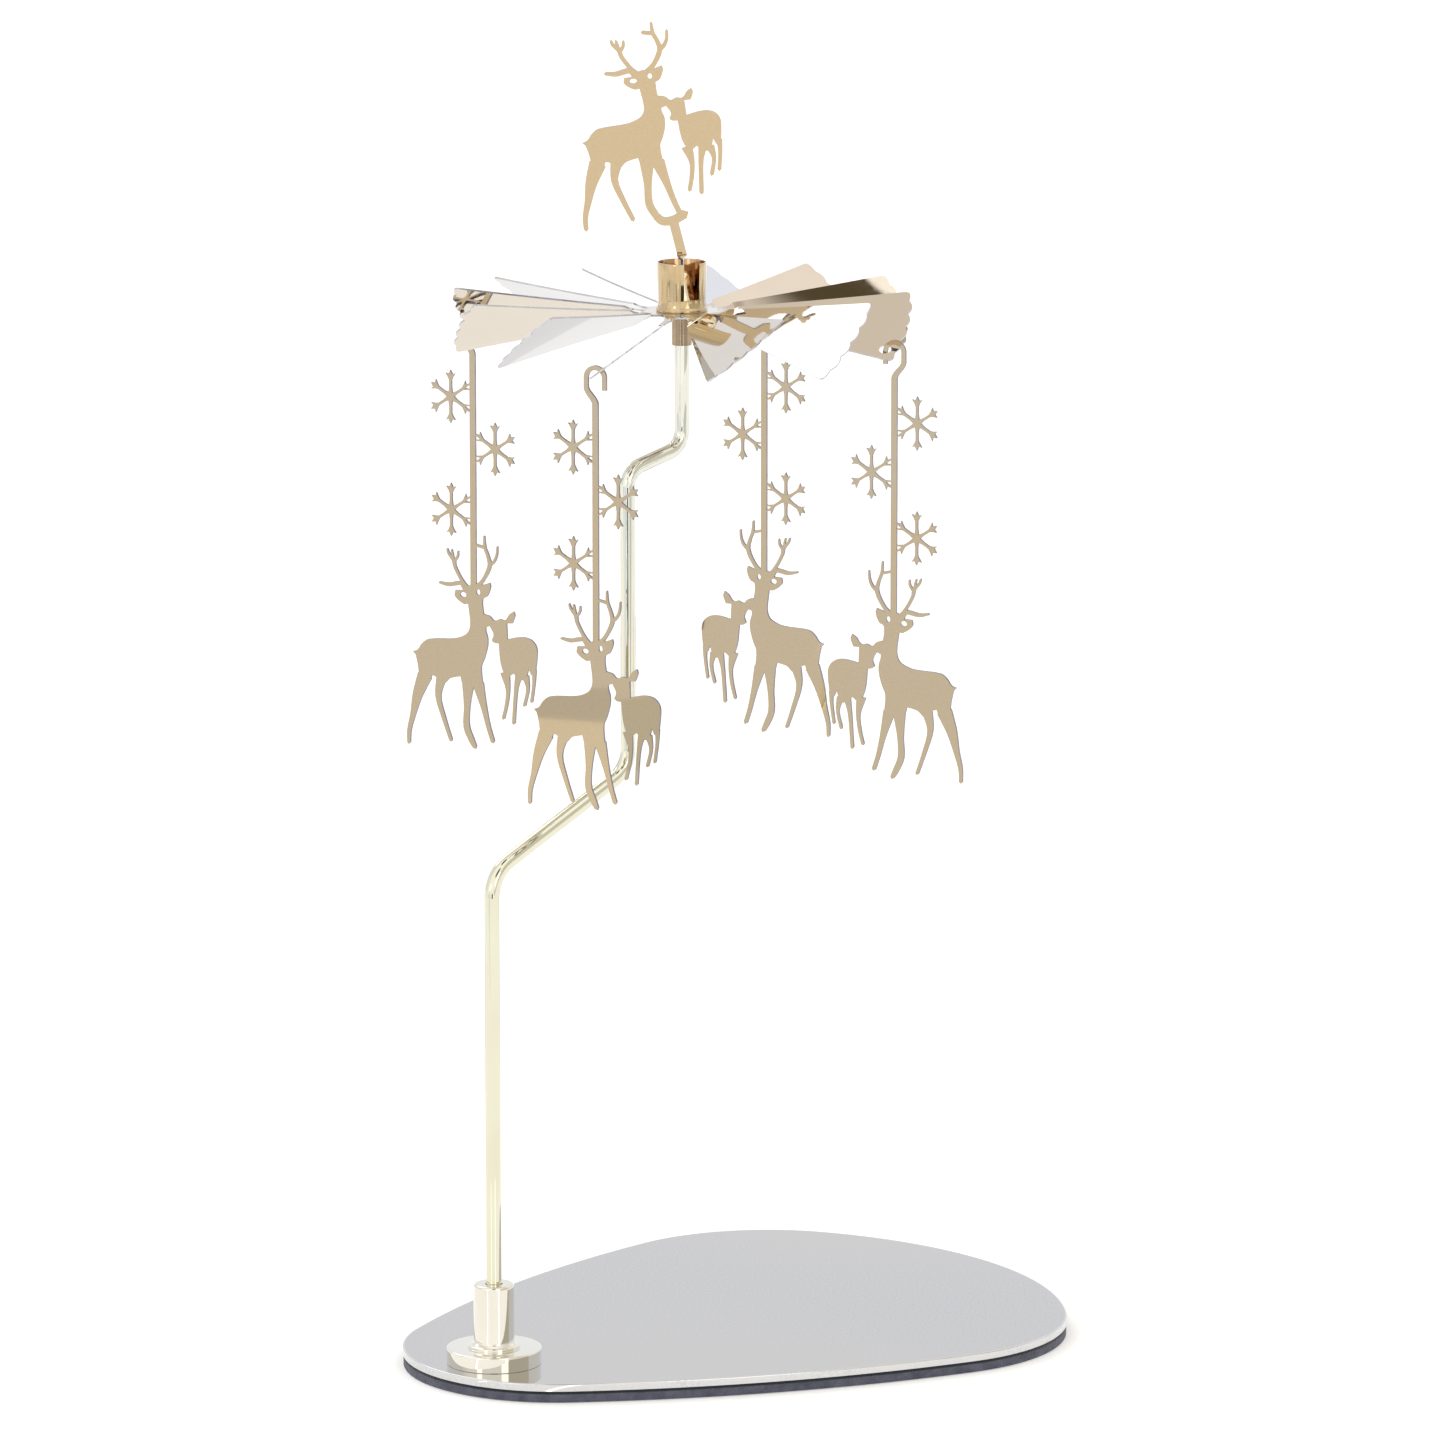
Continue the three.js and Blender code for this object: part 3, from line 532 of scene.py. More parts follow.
def merged(piece: Thing) -> Thing:
    """Joins a piece's doubled points and turns its faces outward.

    Args:
        piece: The piece.

    Returns:
        The same piece.
    """
    surface = bmesh.new()
    surface.from_mesh(piece.data)
    bmesh.ops.remove_doubles(surface, verts=surface.verts, dist=SAME_POINT)
    bmesh.ops.recalc_face_normals(surface, faces=surface.faces)
    surface.to_mesh(piece.data)
    surface.free()
    smoothed(piece.data)
    return piece


def settle(piece: Thing, body: str, node: str) -> None:
    """Makes a piece ride on a body in place of a node.

    Args:
        piece: The piece.
        body: The body's name.
        node: The name of the node that it replaces.
    """
    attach(piece, body)
    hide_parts(node)
    log.info("%s rides on %s, %d faces", piece.name, body, len(piece.data.polygons))


def softened(corners: Sequence[Triple], steps: int = 5) -> list[Pair]:
    """Rounds the corners of a closed outline.

    Beside each round it leaves a close second point on the straight, so that flat faces keep their normals.

    Args:
        corners: Each corner's two coordinates and the radius of its round.
        steps: Facets in each round.

    Returns:
        The outline's points.
    """
    outline: list[Pair] = []
    for i, (x, y, radius) in enumerate(corners):
        here = Vector((x, y))
        back = Vector(corners[i - 1][:2]) - here
        ahead = Vector(corners[(i + 1) % len(corners)][:2]) - here
        if radius <= 0:
            outline.append((x, y))
            continue
        turn = math.pi - back.angle(ahead)
        reach = min(radius * math.tan(turn / 2), ROUND_REACH * back.length, ROUND_REACH * ahead.length)
        start, end = here + back.normalized() * reach, here + ahead.normalized() * reach
        outline.append(tuple(start + (start - here) * GUARD_SHARE))
        for step in range(steps + 1):
            share = step / steps
            outline.append(tuple(start.lerp(here, share).lerp(here.lerp(end, share), share)))
        outline.append(tuple(end + (end - here) * GUARD_SHARE))
    return outline


def turned(profile: Sequence[Pair], segments: int) -> Shell:
    """Revolves a closed profile about Z.

    Args:
        profile: (radius, height) pairs, anticlockwise.
        segments: Facets round the axis.

    Returns:
        The closed surface.
    """
    shell = Shell()
    rings = []
    for radius, height in profile:
        if radius < SAME_POINT:
            rings.append([shell.add_point(0, 0, height)] * segments)
            continue
        angles = [FULL_TURN * i / segments for i in range(segments)]
        rings.append([shell.add_point(radius * math.cos(a), radius * math.sin(a), height) for a in angles])
    for i, low in enumerate(rings):
        shell.add_band(low, rings[(i + 1) % len(rings)])
    return shell


def arc(centre: Vector, radius: float, start: float, end: float, steps: int) -> list[Vector]:
    """Gives so many points on an arc between two angles in radians, without its last one."""
    angles = [start + (end - start) * i / steps for i in range(steps)]
    return [centre + radius * Vector((math.cos(a), math.sin(a))) for a in angles]


def circle(centre: Vector, radius: float, steps: int) -> list[Vector]:
    """Gives so many points on a circle, anticlockwise."""
    return arc(centre, radius, 0, FULL_TURN, steps)


def flowing(points: Sequence[Sequence[float]], closed: bool, steps: int = 4, sharp: float = 62.0) -> list[tuple]:
    """Draws a smooth line through points and keeps its sharp corners.

    Args:
        points: The points, each with two coordinates and any further values that change along the line.
        closed: Whether the last point leads back to the first.
        steps: Pieces between two points.
        sharp: Corners that turn by more than this many degrees stay corners.

    Returns:
        The points of the finer line.
    """
    count = len(points)
    vectors = [Vector(p) for p in points]
    flat = [Vector(p[:2]) for p in points]

    def slope(i: int, leaving: bool) -> Vector:
        """Gives the line's direction at a point.

        Args:
            i: The point's number.
            leaving: Whether the line leaves the point or arrives at it.

        Returns:
            How much each value changes per unit of length.
        """
        before, after = (i - 1, i + 1) if closed else (max(i - 1, 0), min(i + 1, count - 1))
        arriving, going = flat[i] - flat[before % count], flat[after % count] - flat[i]
        ends = arriving.length < SAME_POINT or going.length < SAME_POINT
        if ends or arriving.angle(going) > math.radians(sharp):
            pair = (i, after % count) if leaving else (before % count, i)
        else:
            pair = (before % count, after % count)
        chord = (flat[pair[1]] - flat[pair[0]]).length or 1.0
        return (vectors[pair[1]] - vectors[pair[0]]) / chord

    line: list[tuple] = []
    for i in range(count if closed else count - 1):
        first, second = vectors[i], vectors[(i + 1) % count]
        reach = (flat[(i + 1) % count] - flat[i]).length
        leave, arrive = slope(i, True) * reach, slope((i + 1) % count, False) * reach
        for step in range(steps):
            t = step / steps
            near, far = (1 + 2 * t) * (1 - t) ** 2, t * t * (3 - 2 * t)
            line.append(tuple(near * first + t * (1 - t) ** 2 * leave + far * second + t * t * (t - 1) * arrive))
    if not closed:
        line.append(tuple(vectors[-1]))
    return line


def limb(points: Sequence[Triple]) -> list[Vector]:
    """Gives the outline of a limb whose last end comes to a blunt point.

    Args:
        points: The middle line's points, each with the limb's width there.

    Returns:
        The closed outline, anticlockwise.
    """
    left: list[Vector] = []
    right: list[Vector] = []
    for i, (x, y, width) in enumerate(points):
        before, after = points[max(i - 1, 0)], points[min(i + 1, len(points) - 1)]
        along = (Vector(after[:2]) - Vector(before[:2])).normalized() * (width / 2)
        aside = Vector((-along.y, along.x))
        left.append(Vector((x, y)) + aside)
        right.append(Vector((x, y)) - aside)
    tip = Vector(points[-1][:2]) + along
    return [*right, tip, *reversed(left)]


def anticlockwise(outline: Sequence[Vector]) -> list[Vector]:
    """Gives a closed outline's points in anticlockwise order."""
    area = sum(outline[i - 1].cross(point) for i, point in enumerate(outline))
    return list(outline) if area > 0 else list(reversed(outline))


class Cutting:
    """A flat region cut out of sheet: everything inside its outlines and outside its holes."""

    def __init__(
        self,
        outlines: Sequence[Sequence[Vector]],
        holes: Sequence[Sequence[Vector]] = (),
        folds: Sequence[tuple[Vector, Vector]] = (),
    ) -> None:
        """Works the region out.

        Args:
            outlines: Closed outlines, which may overlap.
            holes: Closed outlines of what is cut away.
            folds: Lines along which the faces are divided, so that the sheet can bend there.
        """
        coords: list[Vector] = []
        loops: list[list[int]] = []
        for outline in (*outlines, *holes):
            loops.append(list(range(len(coords), len(coords) + len(outline))))
            coords += anticlockwise(outline)
        edges = []
        for start, end in folds:
            edges.append((len(coords), len(coords) + 1))
            coords += [start, end]
        made = delaunay_2d_cdt(coords, edges, loops, 1, SAME_POINT, True)
        self.points, triangles, sources = made[0], made[2], made[5]
        self.triangles = []
        for corners, within in zip(triangles, sources):
            inside = any(i < len(outlines) for i in within)
            if inside and all(i < len(outlines) for i in within):
                a, b, c = (self.points[i] for i in corners[:3])
                lean = (b - a).cross(c - a)
                self.triangles.append(tuple(corners) if lean > 0 else tuple(reversed(corners)))

    def flat(self) -> Shell:
        """Lays the region flat at height zero.

        Returns:
            The surface, which faces up.
        """
        shell = Shell()
        shell.add_row(self.points, 0)
        for corners in self.triangles:
            shell.add_face(*corners)
        return shell

    def sheet(self, thickness: float) -> Shell:
        """Gives the region a thickness, with its middle plane at height zero.

        Args:
            thickness: The sheet's thickness.

        Returns:
            The closed surface. Its cut edges have finish 1.
        """
        shell = Shell()
        tops = shell.add_row(self.points, thickness / 2)
        bottoms = shell.add_row(self.points, -thickness / 2)
        sides = set()
        for a, b, c in self.triangles:
            shell.add_face(tops[a], tops[b], tops[c])
            shell.add_face(bottoms[a], bottoms[c], bottoms[b])
            sides.update(((a, b), (b, c), (c, a)))
        for a, b in sides:
            if (b, a) not in sides:
                shell.add_face(bottoms[a], bottoms[b], tops[b], tops[a], finish=1)
        return shell


class GeometryTree(Nodes):
    """A Geometry Nodes tree with named sizes, run once to give a plain mesh."""

    def __init__(self, name: str) -> None:
        """Starts the tree with its geometry input and output.

        Args:
            name: The tree's name.
        """
        super().__init__(bpy.data.node_groups.new(name, "GeometryNodeTree"))
        self.values: dict[str, object] = {}
        for way in ("INPUT", "OUTPUT"):
            self.tree.interface.new_socket("Geometry", in_out=way, socket_type="NodeSocketGeometry")
        self.start = self.add("NodeGroupInput")
        self.end = self.add("NodeGroupOutput")

    def size(self, name: str, value: object, kind: str = "Float") -> Socket:
        """Adds a named input with its value.

        Args:
            name: The input's name.
            value: Its value.
            kind: Its kind of socket.

        Returns:
            Its socket inside the tree.
        """
        item = self.tree.interface.new_socket(name, in_out="INPUT", socket_type="NodeSocket" + kind)
        self.values[item.identifier] = value
        return self.start.outputs[name]

    def attribute(self, name: str, kind: str = "FLOAT") -> Socket:
        """Reads a named attribute of the mesh."""
        return self.add("GeometryNodeInputNamedAttribute", {"data_type": kind}, Name=name).outputs["Attribute"]

    def math(self, operation: str, first: Number, second: Number) -> Socket:
        """Combines two numbers.

        Args:
            operation: What Blender calls the sum.
            first: A socket or a plain number.
            second: Another one.

        Returns:
            The result's socket.
        """
        node = self.add("ShaderNodeMath", {"operation": operation})
        self.feed(node.inputs[0], first)
        self.feed(node.inputs[1], second)
        return node.outputs[0]

    def times(self, first: Number, second: Number) -> Socket:
        """Multiplies two numbers."""
        return self.math("MULTIPLY", first, second)

    def finish_with(self, geometry: Socket, face: Socket, edge: Socket | None = None) -> None:
        """Ends the tree with real instances and its materials.

        Args:
            geometry: The shape.
            face: The material of its faces.
            edge: The material of the faces marked cut_edge.
        """
        real = self.add("GeometryNodeRealizeInstances", Geometry=geometry).outputs[0]
        real = self.add("GeometryNodeSetMaterial", Geometry=real, Material=face).outputs[0]
        if edge is not None:
            cut = self.attribute("cut_edge", "BOOLEAN")
            real = self.add("GeometryNodeSetMaterial", Geometry=real, Selection=cut, Material=edge).outputs[0]
        self.feed(self.end.inputs[0], real)

    def run(self, name: str, carrier: Thing, sharp: float = SHARP_ANGLE) -> Thing:
        """Runs the tree on a carrier's mesh and takes the carrier away.

        Args:
            name: The new piece's name.
            carrier: The object whose mesh is the tree's input.
            sharp: Edges turned by more than this many degrees stay sharp.

        Returns:
            A plain mesh object.
        """
        modifier = carrier.modifiers.new("made", "NODES")
        modifier.node_group = self.tree
        for identifier, value in self.values.items():
            modifier[identifier] = value
        seen = carrier.evaluated_get(bpy.context.evaluated_depsgraph_get())
        mesh = bpy.data.meshes.new_from_object(seen)
        carrier.modifiers.remove(modifier)
        bpy.data.objects.remove(carrier)
        return linked(name, smoothed(mesh, sharp))


@dataclass
class Base:
    """The foam pad and the mirror-bright egg-shaped plate on it."""

    nose_radius: float = 0.041
    corner_radius: float = 0.047
    tail_radius: float = 0.095
    flank_radius: float = 0.29
    nose_to_corners: float = 0.089
    corner_spread: float = 0.027
    nose_to_socket: float = 0.024
    socket_off_axis: float = 0.005
    azimuth: float = 36.5
    outline_inset: float = 0.00025
    foam_inset: float = 0.0002
    cutout_radius: float = 0.005
    edge_round: float = 0.0003
    lower_edge_share: float = 0.25
    foam_round: float = 0.0002
    plate_seat: float = 0.0029
    screw_hole_radius: float = 0.00155
    flat_margin: float = 0.0002
    arc_steps: int = 40
    edge_steps: int = 5
    hole_steps: int = 48

    def outline(self, inset: float, middle: Vector) -> list[Vector]:
        """Draws the egg: a small round nose, two round corners, a blunt tail and long shallow flanks.

        Args:
            inset: How far inside the plate's own outline it runs.
            middle: The socket's centre.

        Returns:
            The closed outline, anticlockwise.
        """
        nose = Vector((0, 0))
        corner = Vector((self.nose_to_corners, self.corner_spread))
        flank = self.flank_centre(nose, corner)
        tail_reach = math.sqrt((self.tail_radius - self.corner_radius) ** 2 - self.corner_spread**2)
        tail = Vector((self.nose_to_corners - tail_reach, 0))

        def angle(start: Vector, end: Vector) -> float:
            """Gives the direction from one point to another."""
            return math.atan2(end.y - start.y, end.x - start.x)

        tail_turn, flank_turn, nose_turn = angle(tail, corner), angle(flank, corner), angle(flank, nose)
        steps = self.arc_steps
        half = [
            *arc(tail, self.tail_radius - inset, 0, tail_turn, steps // 2),
            *arc(corner, self.corner_radius - inset, tail_turn, flank_turn, steps),
            *arc(flank, self.flank_radius - inset, flank_turn, nose_turn, steps // 2),
            *arc(nose, self.nose_radius - inset, nose_turn, math.pi, steps),
        ]
        other = [Vector((p.x, -p.y)) for p in reversed(half[1:])]
        whole = [*half, Vector((inset - self.nose_radius, 0)), *other]
        turn = Matrix.Rotation(math.radians(self.azimuth), 2)
        shift = turn @ Vector((self.nose_to_socket, self.socket_off_axis)) + middle
        return [turn @ point + shift for point in whole]

    def flank_centre(self, nose: Vector, corner: Vector) -> Vector:
        """Finds the centre of the large circle that touches the nose's and the corner's circles.

        Args:
            nose: The centre of the nose's circle.
            corner: The centre of the corner's circle.

        Returns:
            The large circle's centre.
        """
        near, far = self.flank_radius - self.nose_radius, self.flank_radius - self.corner_radius
        along = corner - nose
        share = (near**2 - far**2 + along.length_squared) / (2 * along.length)
        aside = math.sqrt(near**2 - share**2)
        along.normalize()
        return nose + along * share + Vector((along.y, -along.x)) * aside

    def slab(self, middle: Vector, low: float, high: float, inset: float, edge: float, hole: float) -> Shell:
        """Builds a slab of the egg's outline with rounded edges and a round hole below the socket.

        Args:
            middle: The socket's centre.
            low: The height of its underside.
            high: The height of its top.
            inset: How far inside the plate's own outline it runs.
            edge: The radius of its edges.
            hole: The radius of its hole.

        Returns:
            The closed surface.
        """
        quarter = [math.pi / 2 * i / self.edge_steps for i in range(self.edge_steps + 1)]
        rounds = [(edge * (1 - math.sin(turn)), edge * (1 - math.cos(turn))) for turn in quarter]
        flat = edge + self.flat_margin
        lower = self.lower_edge_share
        rows = [(flat, low), *((aside * lower, low + up * lower) for aside, up in rounds)]
        rows += [*((aside, high - up) for aside, up in reversed(rounds)), (flat, high)]
        shell = Shell()
        rings = [shell.add_row(self.outline(inset + aside, middle), height) for aside, height in rows]
        for below, above in zip(rings, rings[1:]):
            shell.add_band(below, above, finish=1)
        round_hole = circle(middle, hole, steps=self.hole_steps)
        cut = Cutting([self.outline(inset + flat, middle)], [round_hole])
        for height in (low, high):
            face = cut.flat()
            if height == low:
                face.faces = [tuple(reversed(corners)) for corners in face.faces]
            shell.joined(face.placed(Matrix.Translation((0, 0, height))))
        wall = Shell()
        bottoms, tops = wall.add_row(round_hole, low), wall.add_row(round_hole, high)
        for i in range(len(round_hole)):
            wall.add_face(bottoms[i - 1], tops[i - 1], tops[i], bottoms[i])
        return shell.joined(wall)

    def build(self, finishes: Finishes) -> None:
        """Builds the foam pad and the plate.

        Args:
            finishes: The carousel's finishes.
        """
        low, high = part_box("rod_socket")
        middle = ((low + high) / 2).to_2d()
        floor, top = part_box("foam_pad")[0].z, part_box("base_plate")[1].z
        inset, seat = self.outline_inset, self.plate_seat
        foam = self.slab(middle, floor, seat, inset + self.foam_inset, self.foam_round, self.cutout_radius)
        foam.install("foam_sheet", Body.STAND, "foam_pad", "foam", finishes.foam, finishes.foam)
        plate = self.slab(middle, seat, top, inset, self.edge_round, self.screw_hole_radius)
        plate.install("mirror_plate", Body.STAND, "base_plate", "plate", finishes.plate, finishes.plate_edge)


@dataclass
class Post:
    """The turned socket, the bent rod that stands in it and the screw that holds both to the plate."""

    flange_radius: float = 0.0124
    flange_height: float = 0.0042
    flange_round: float = 0.0005
    shoulder_radius: float = 0.0069
    shoulder_height: float = 0.0008
    flare: float = 0.0007
    post_radius: float = 0.0053
    post_round: float = 0.0009
    bore_radius: float = 0.00225
    rod_below: float = 0.00028125
    rod_radius: float = 0.002
    first_bend_height: float = 0.1344
    arm_rise: float = 0.0223
    arm_step: float = 0.0442
    crank_drop: float = 0.0475
    crank_rise: float = 0.0047
    low_bend_radius: float = 0.01
    arm_top_bend_radius: float = 0.009
    crank_bend_radius: float = 0.0055
    point_length: float = 0.006
    point_share: float = 0.1
    screw_radius: float = 0.00125
    screw_hole_radius: float = 0.00155
    screw_head_radius: float = 0.003
    screw_head_height: float = 0.0015
    screw_head_round: float = 0.00105
    recess_width: float = 0.0007
    recess_depth: float = 0.0008

    def socket(self, low: Vector, high: Vector) -> Shell:
        """Turns the socket between its node's lowest and highest corner.

        It has a flange, a shoulder ring and a post with a bore, which ends a little below the rod.

        Args:
            low: The lowest corner.
            high: The highest corner.

        Returns:
            The closed surface.
        """
        flange_top = low.z + self.flange_height
        shoulder_top = flange_top + self.shoulder_height
        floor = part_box("rod")[0].z - self.rod_below
        edge, round_over = self.flange_round, self.post_round
        corners = [
            (self.screw_hole_radius, low.z, 0),
            (self.flange_radius, low.z, edge / 3),
            (self.flange_radius, flange_top, edge),
            (self.shoulder_radius, flange_top, edge / 4),
            (self.shoulder_radius, shoulder_top, self.shoulder_height / 2),
            (self.post_radius + self.flare, shoulder_top, 0),
            (self.post_radius, shoulder_top + self.flare, edge),
            (self.post_radius, high.z, round_over),
            (self.bore_radius, high.z, round_over / 2),
            (self.bore_radius, floor, 0),
            (self.screw_hole_radius, floor, 0),
        ]
        return turned(softened(corners), segments=128)

    def rod_tree(self, material: Material) -> GeometryTree:
        """Sweeps a round bar along a bent line whose corners say how wide they are bent.

        Args:
            material: The rod's finish.

        Returns:
            The tree.
        """
        tree = GeometryTree("bent_rod")
        radius = tree.size("Rod Radius", self.rod_radius)
        facets = tree.size("Facets", 40, "Int")
        bend_steps = tree.size("Bend Steps", 18, "Int")
        finish = tree.size("Finish", material, "Material")
        line = tree.add("GeometryNodeMeshToCurve", Mesh=tree.start.outputs["Geometry"]).outputs[0]
        rounds = {"Count": bend_steps, "Radius": tree.attribute("bend_radius"), "Limit_Radius": True}
        bent = tree.add("GeometryNodeFilletCurve", {"mode": "POLY"}, Curve=line, **rounds).outputs[0]
        ring = tree.add("GeometryNodeCurvePrimitiveCircle", Resolution=facets, Radius=radius).outputs["Curve"]
        sweep = {"Profile_Curve": ring, "Scale": tree.attribute("taper"), "Fill_Caps": True}
        swept = tree.add("GeometryNodeCurveToMesh", Curve=bent, **sweep).outputs[0]
        tree.finish_with(swept, finish)
        return tree

    def rod_line(self, foot: Vector, low: float, high: float) -> Thing:
        """Draws the rod's line in the upright plane of its arm, with the bend radius of each corner.

        Args:
            foot: Where the rod stands.
            low: The height of its foot.
            high: The height of its point.

        Returns:
            An object whose mesh is the line.
        """
        reach = foot.length
        crank = high - self.crank_drop
        corners = [
            (0.0, low, 0.0),
            (0.0, self.first_bend_height, self.low_bend_radius),
            (self.arm_step, self.first_bend_height + self.arm_rise, self.arm_top_bend_radius),
            (self.arm_step, crank, self.crank_bend_radius),
            (reach, crank + self.crank_rise, self.crank_bend_radius),
            (reach, high - self.point_length, 0.0),
            (reach, high, 0.0),
        ]
        inward = -foot.normalized()
        places = [foot + inward * along for along, _, _ in corners]
        mesh = bpy.data.meshes.new("rod_line")
        points = [(p.x, p.y, height) for p, (_, height, _) in zip(places, corners)]
        mesh.from_pydata(points, [(i, i + 1) for i in range(len(points) - 1)], [])
        tapers = [1.0] * (len(corners) - 1) + [self.point_share]
        for name, values in (("bend_radius", [bend for _, _, bend in corners]), ("taper", tapers)):
            mesh.attributes.new(name, "FLOAT", "POINT").data.foreach_set("value", values)
        return linked("rod_line", mesh)

    def screw(self, low: Vector, high: Vector) -> Shell:
        """Turns the screw between its node's lowest and highest corner.

        Args:
            low: The lowest corner.
            high: The highest corner.

        Returns:
            The closed surface: a low round head with a recess, and its shank.
        """
        head_top, recess_top = low.z + self.screw_head_height, low.z + self.recess_depth
        corners = [
            (0, recess_top, 0),
            (self.recess_width, recess_top, 0),
            (self.recess_width, low.z, 0),
            (self.screw_head_radius, low.z, self.screw_head_round),
            (self.screw_head_radius, head_top, 0),
            (self.screw_radius, head_top, 0),
            (self.screw_radius, high.z - self.screw_radius, 0),
            (0, high.z, 0),
        ]
        return turned(softened(corners), segments=48)

    def build(self, finishes: Finishes) -> None:
        """Builds the socket, the rod and the screw.

        Args:
            finishes: The carousel's finishes.
        """
        low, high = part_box("rod_socket")
        foot = ((low + high) / 2).to_2d()
        low.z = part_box("base_plate")[1].z
        stand = Matrix.Translation((foot.x, foot.y, 0))
        socket = self.socket(low, high).placed(stand)
        socket.install("turned_socket", Body.STAND, "rod_socket", "socket", finishes.socket)
        rod_low, rod_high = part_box("rod")
        line = self.rod_line(foot, rod_low.z, rod_high.z)
        rod = self.rod_tree(finishes.rod).run("bent_rod", line)
        settle(rod, Body.STAND.value, "rod")
        screw = self.screw(*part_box("base_screw")).placed(stand)
        screw.install("pan_screw", Body.STAND, "base_screw", "screw", finishes.screw)


@dataclass
class Bearing:
    """The brown tube round the rod's end and its bell head, whose inner cone sits on the rod's point."""

    bore_radius: float = 0.00225
    tube_radius: float = 0.0026
    bell_radius: float = 0.0046
    seat_cone_length: float = 0.0024
    cone_above_point: float = 0.0005

    def build(self, finishes: Finishes) -> None:
        """Builds the bearing.

        Args:
            finishes: The carousel's finishes.
        """
        low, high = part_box("pivot_bearing")
        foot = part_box("hub_cup")[0].z
        rise = high.z - foot
        bell_shares = [(1, 0.11), (0.86, 0.27), (0.66, 0.5), (0.52, 0.74), (0.36, 0.92), (0.18, 0.98), (0, 1)]
        bell = flowing([(out * self.bell_radius, foot + up * rise) for out, up in bell_shares], closed=False)
        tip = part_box("rod")[1].z + self.cone_above_point
        profile = [
            (self.bore_radius, low.z),
            (self.tube_radius, low.z),
            (self.tube_radius, foot),
            (self.bell_radius, foot),
            *bell,
            (0.0, tip),
            (self.bore_radius, tip - self.seat_cone_length),
        ]
        shell = turned(profile, segments=64)
        shell.finishes = [int(shell.points[face[0]].z > foot - SAME_POINT) for face in shell.faces]
        shell.install("bell_bearing", Body.BEARING, "pivot_bearing", "bearing", finishes.bearing, finishes.bell)


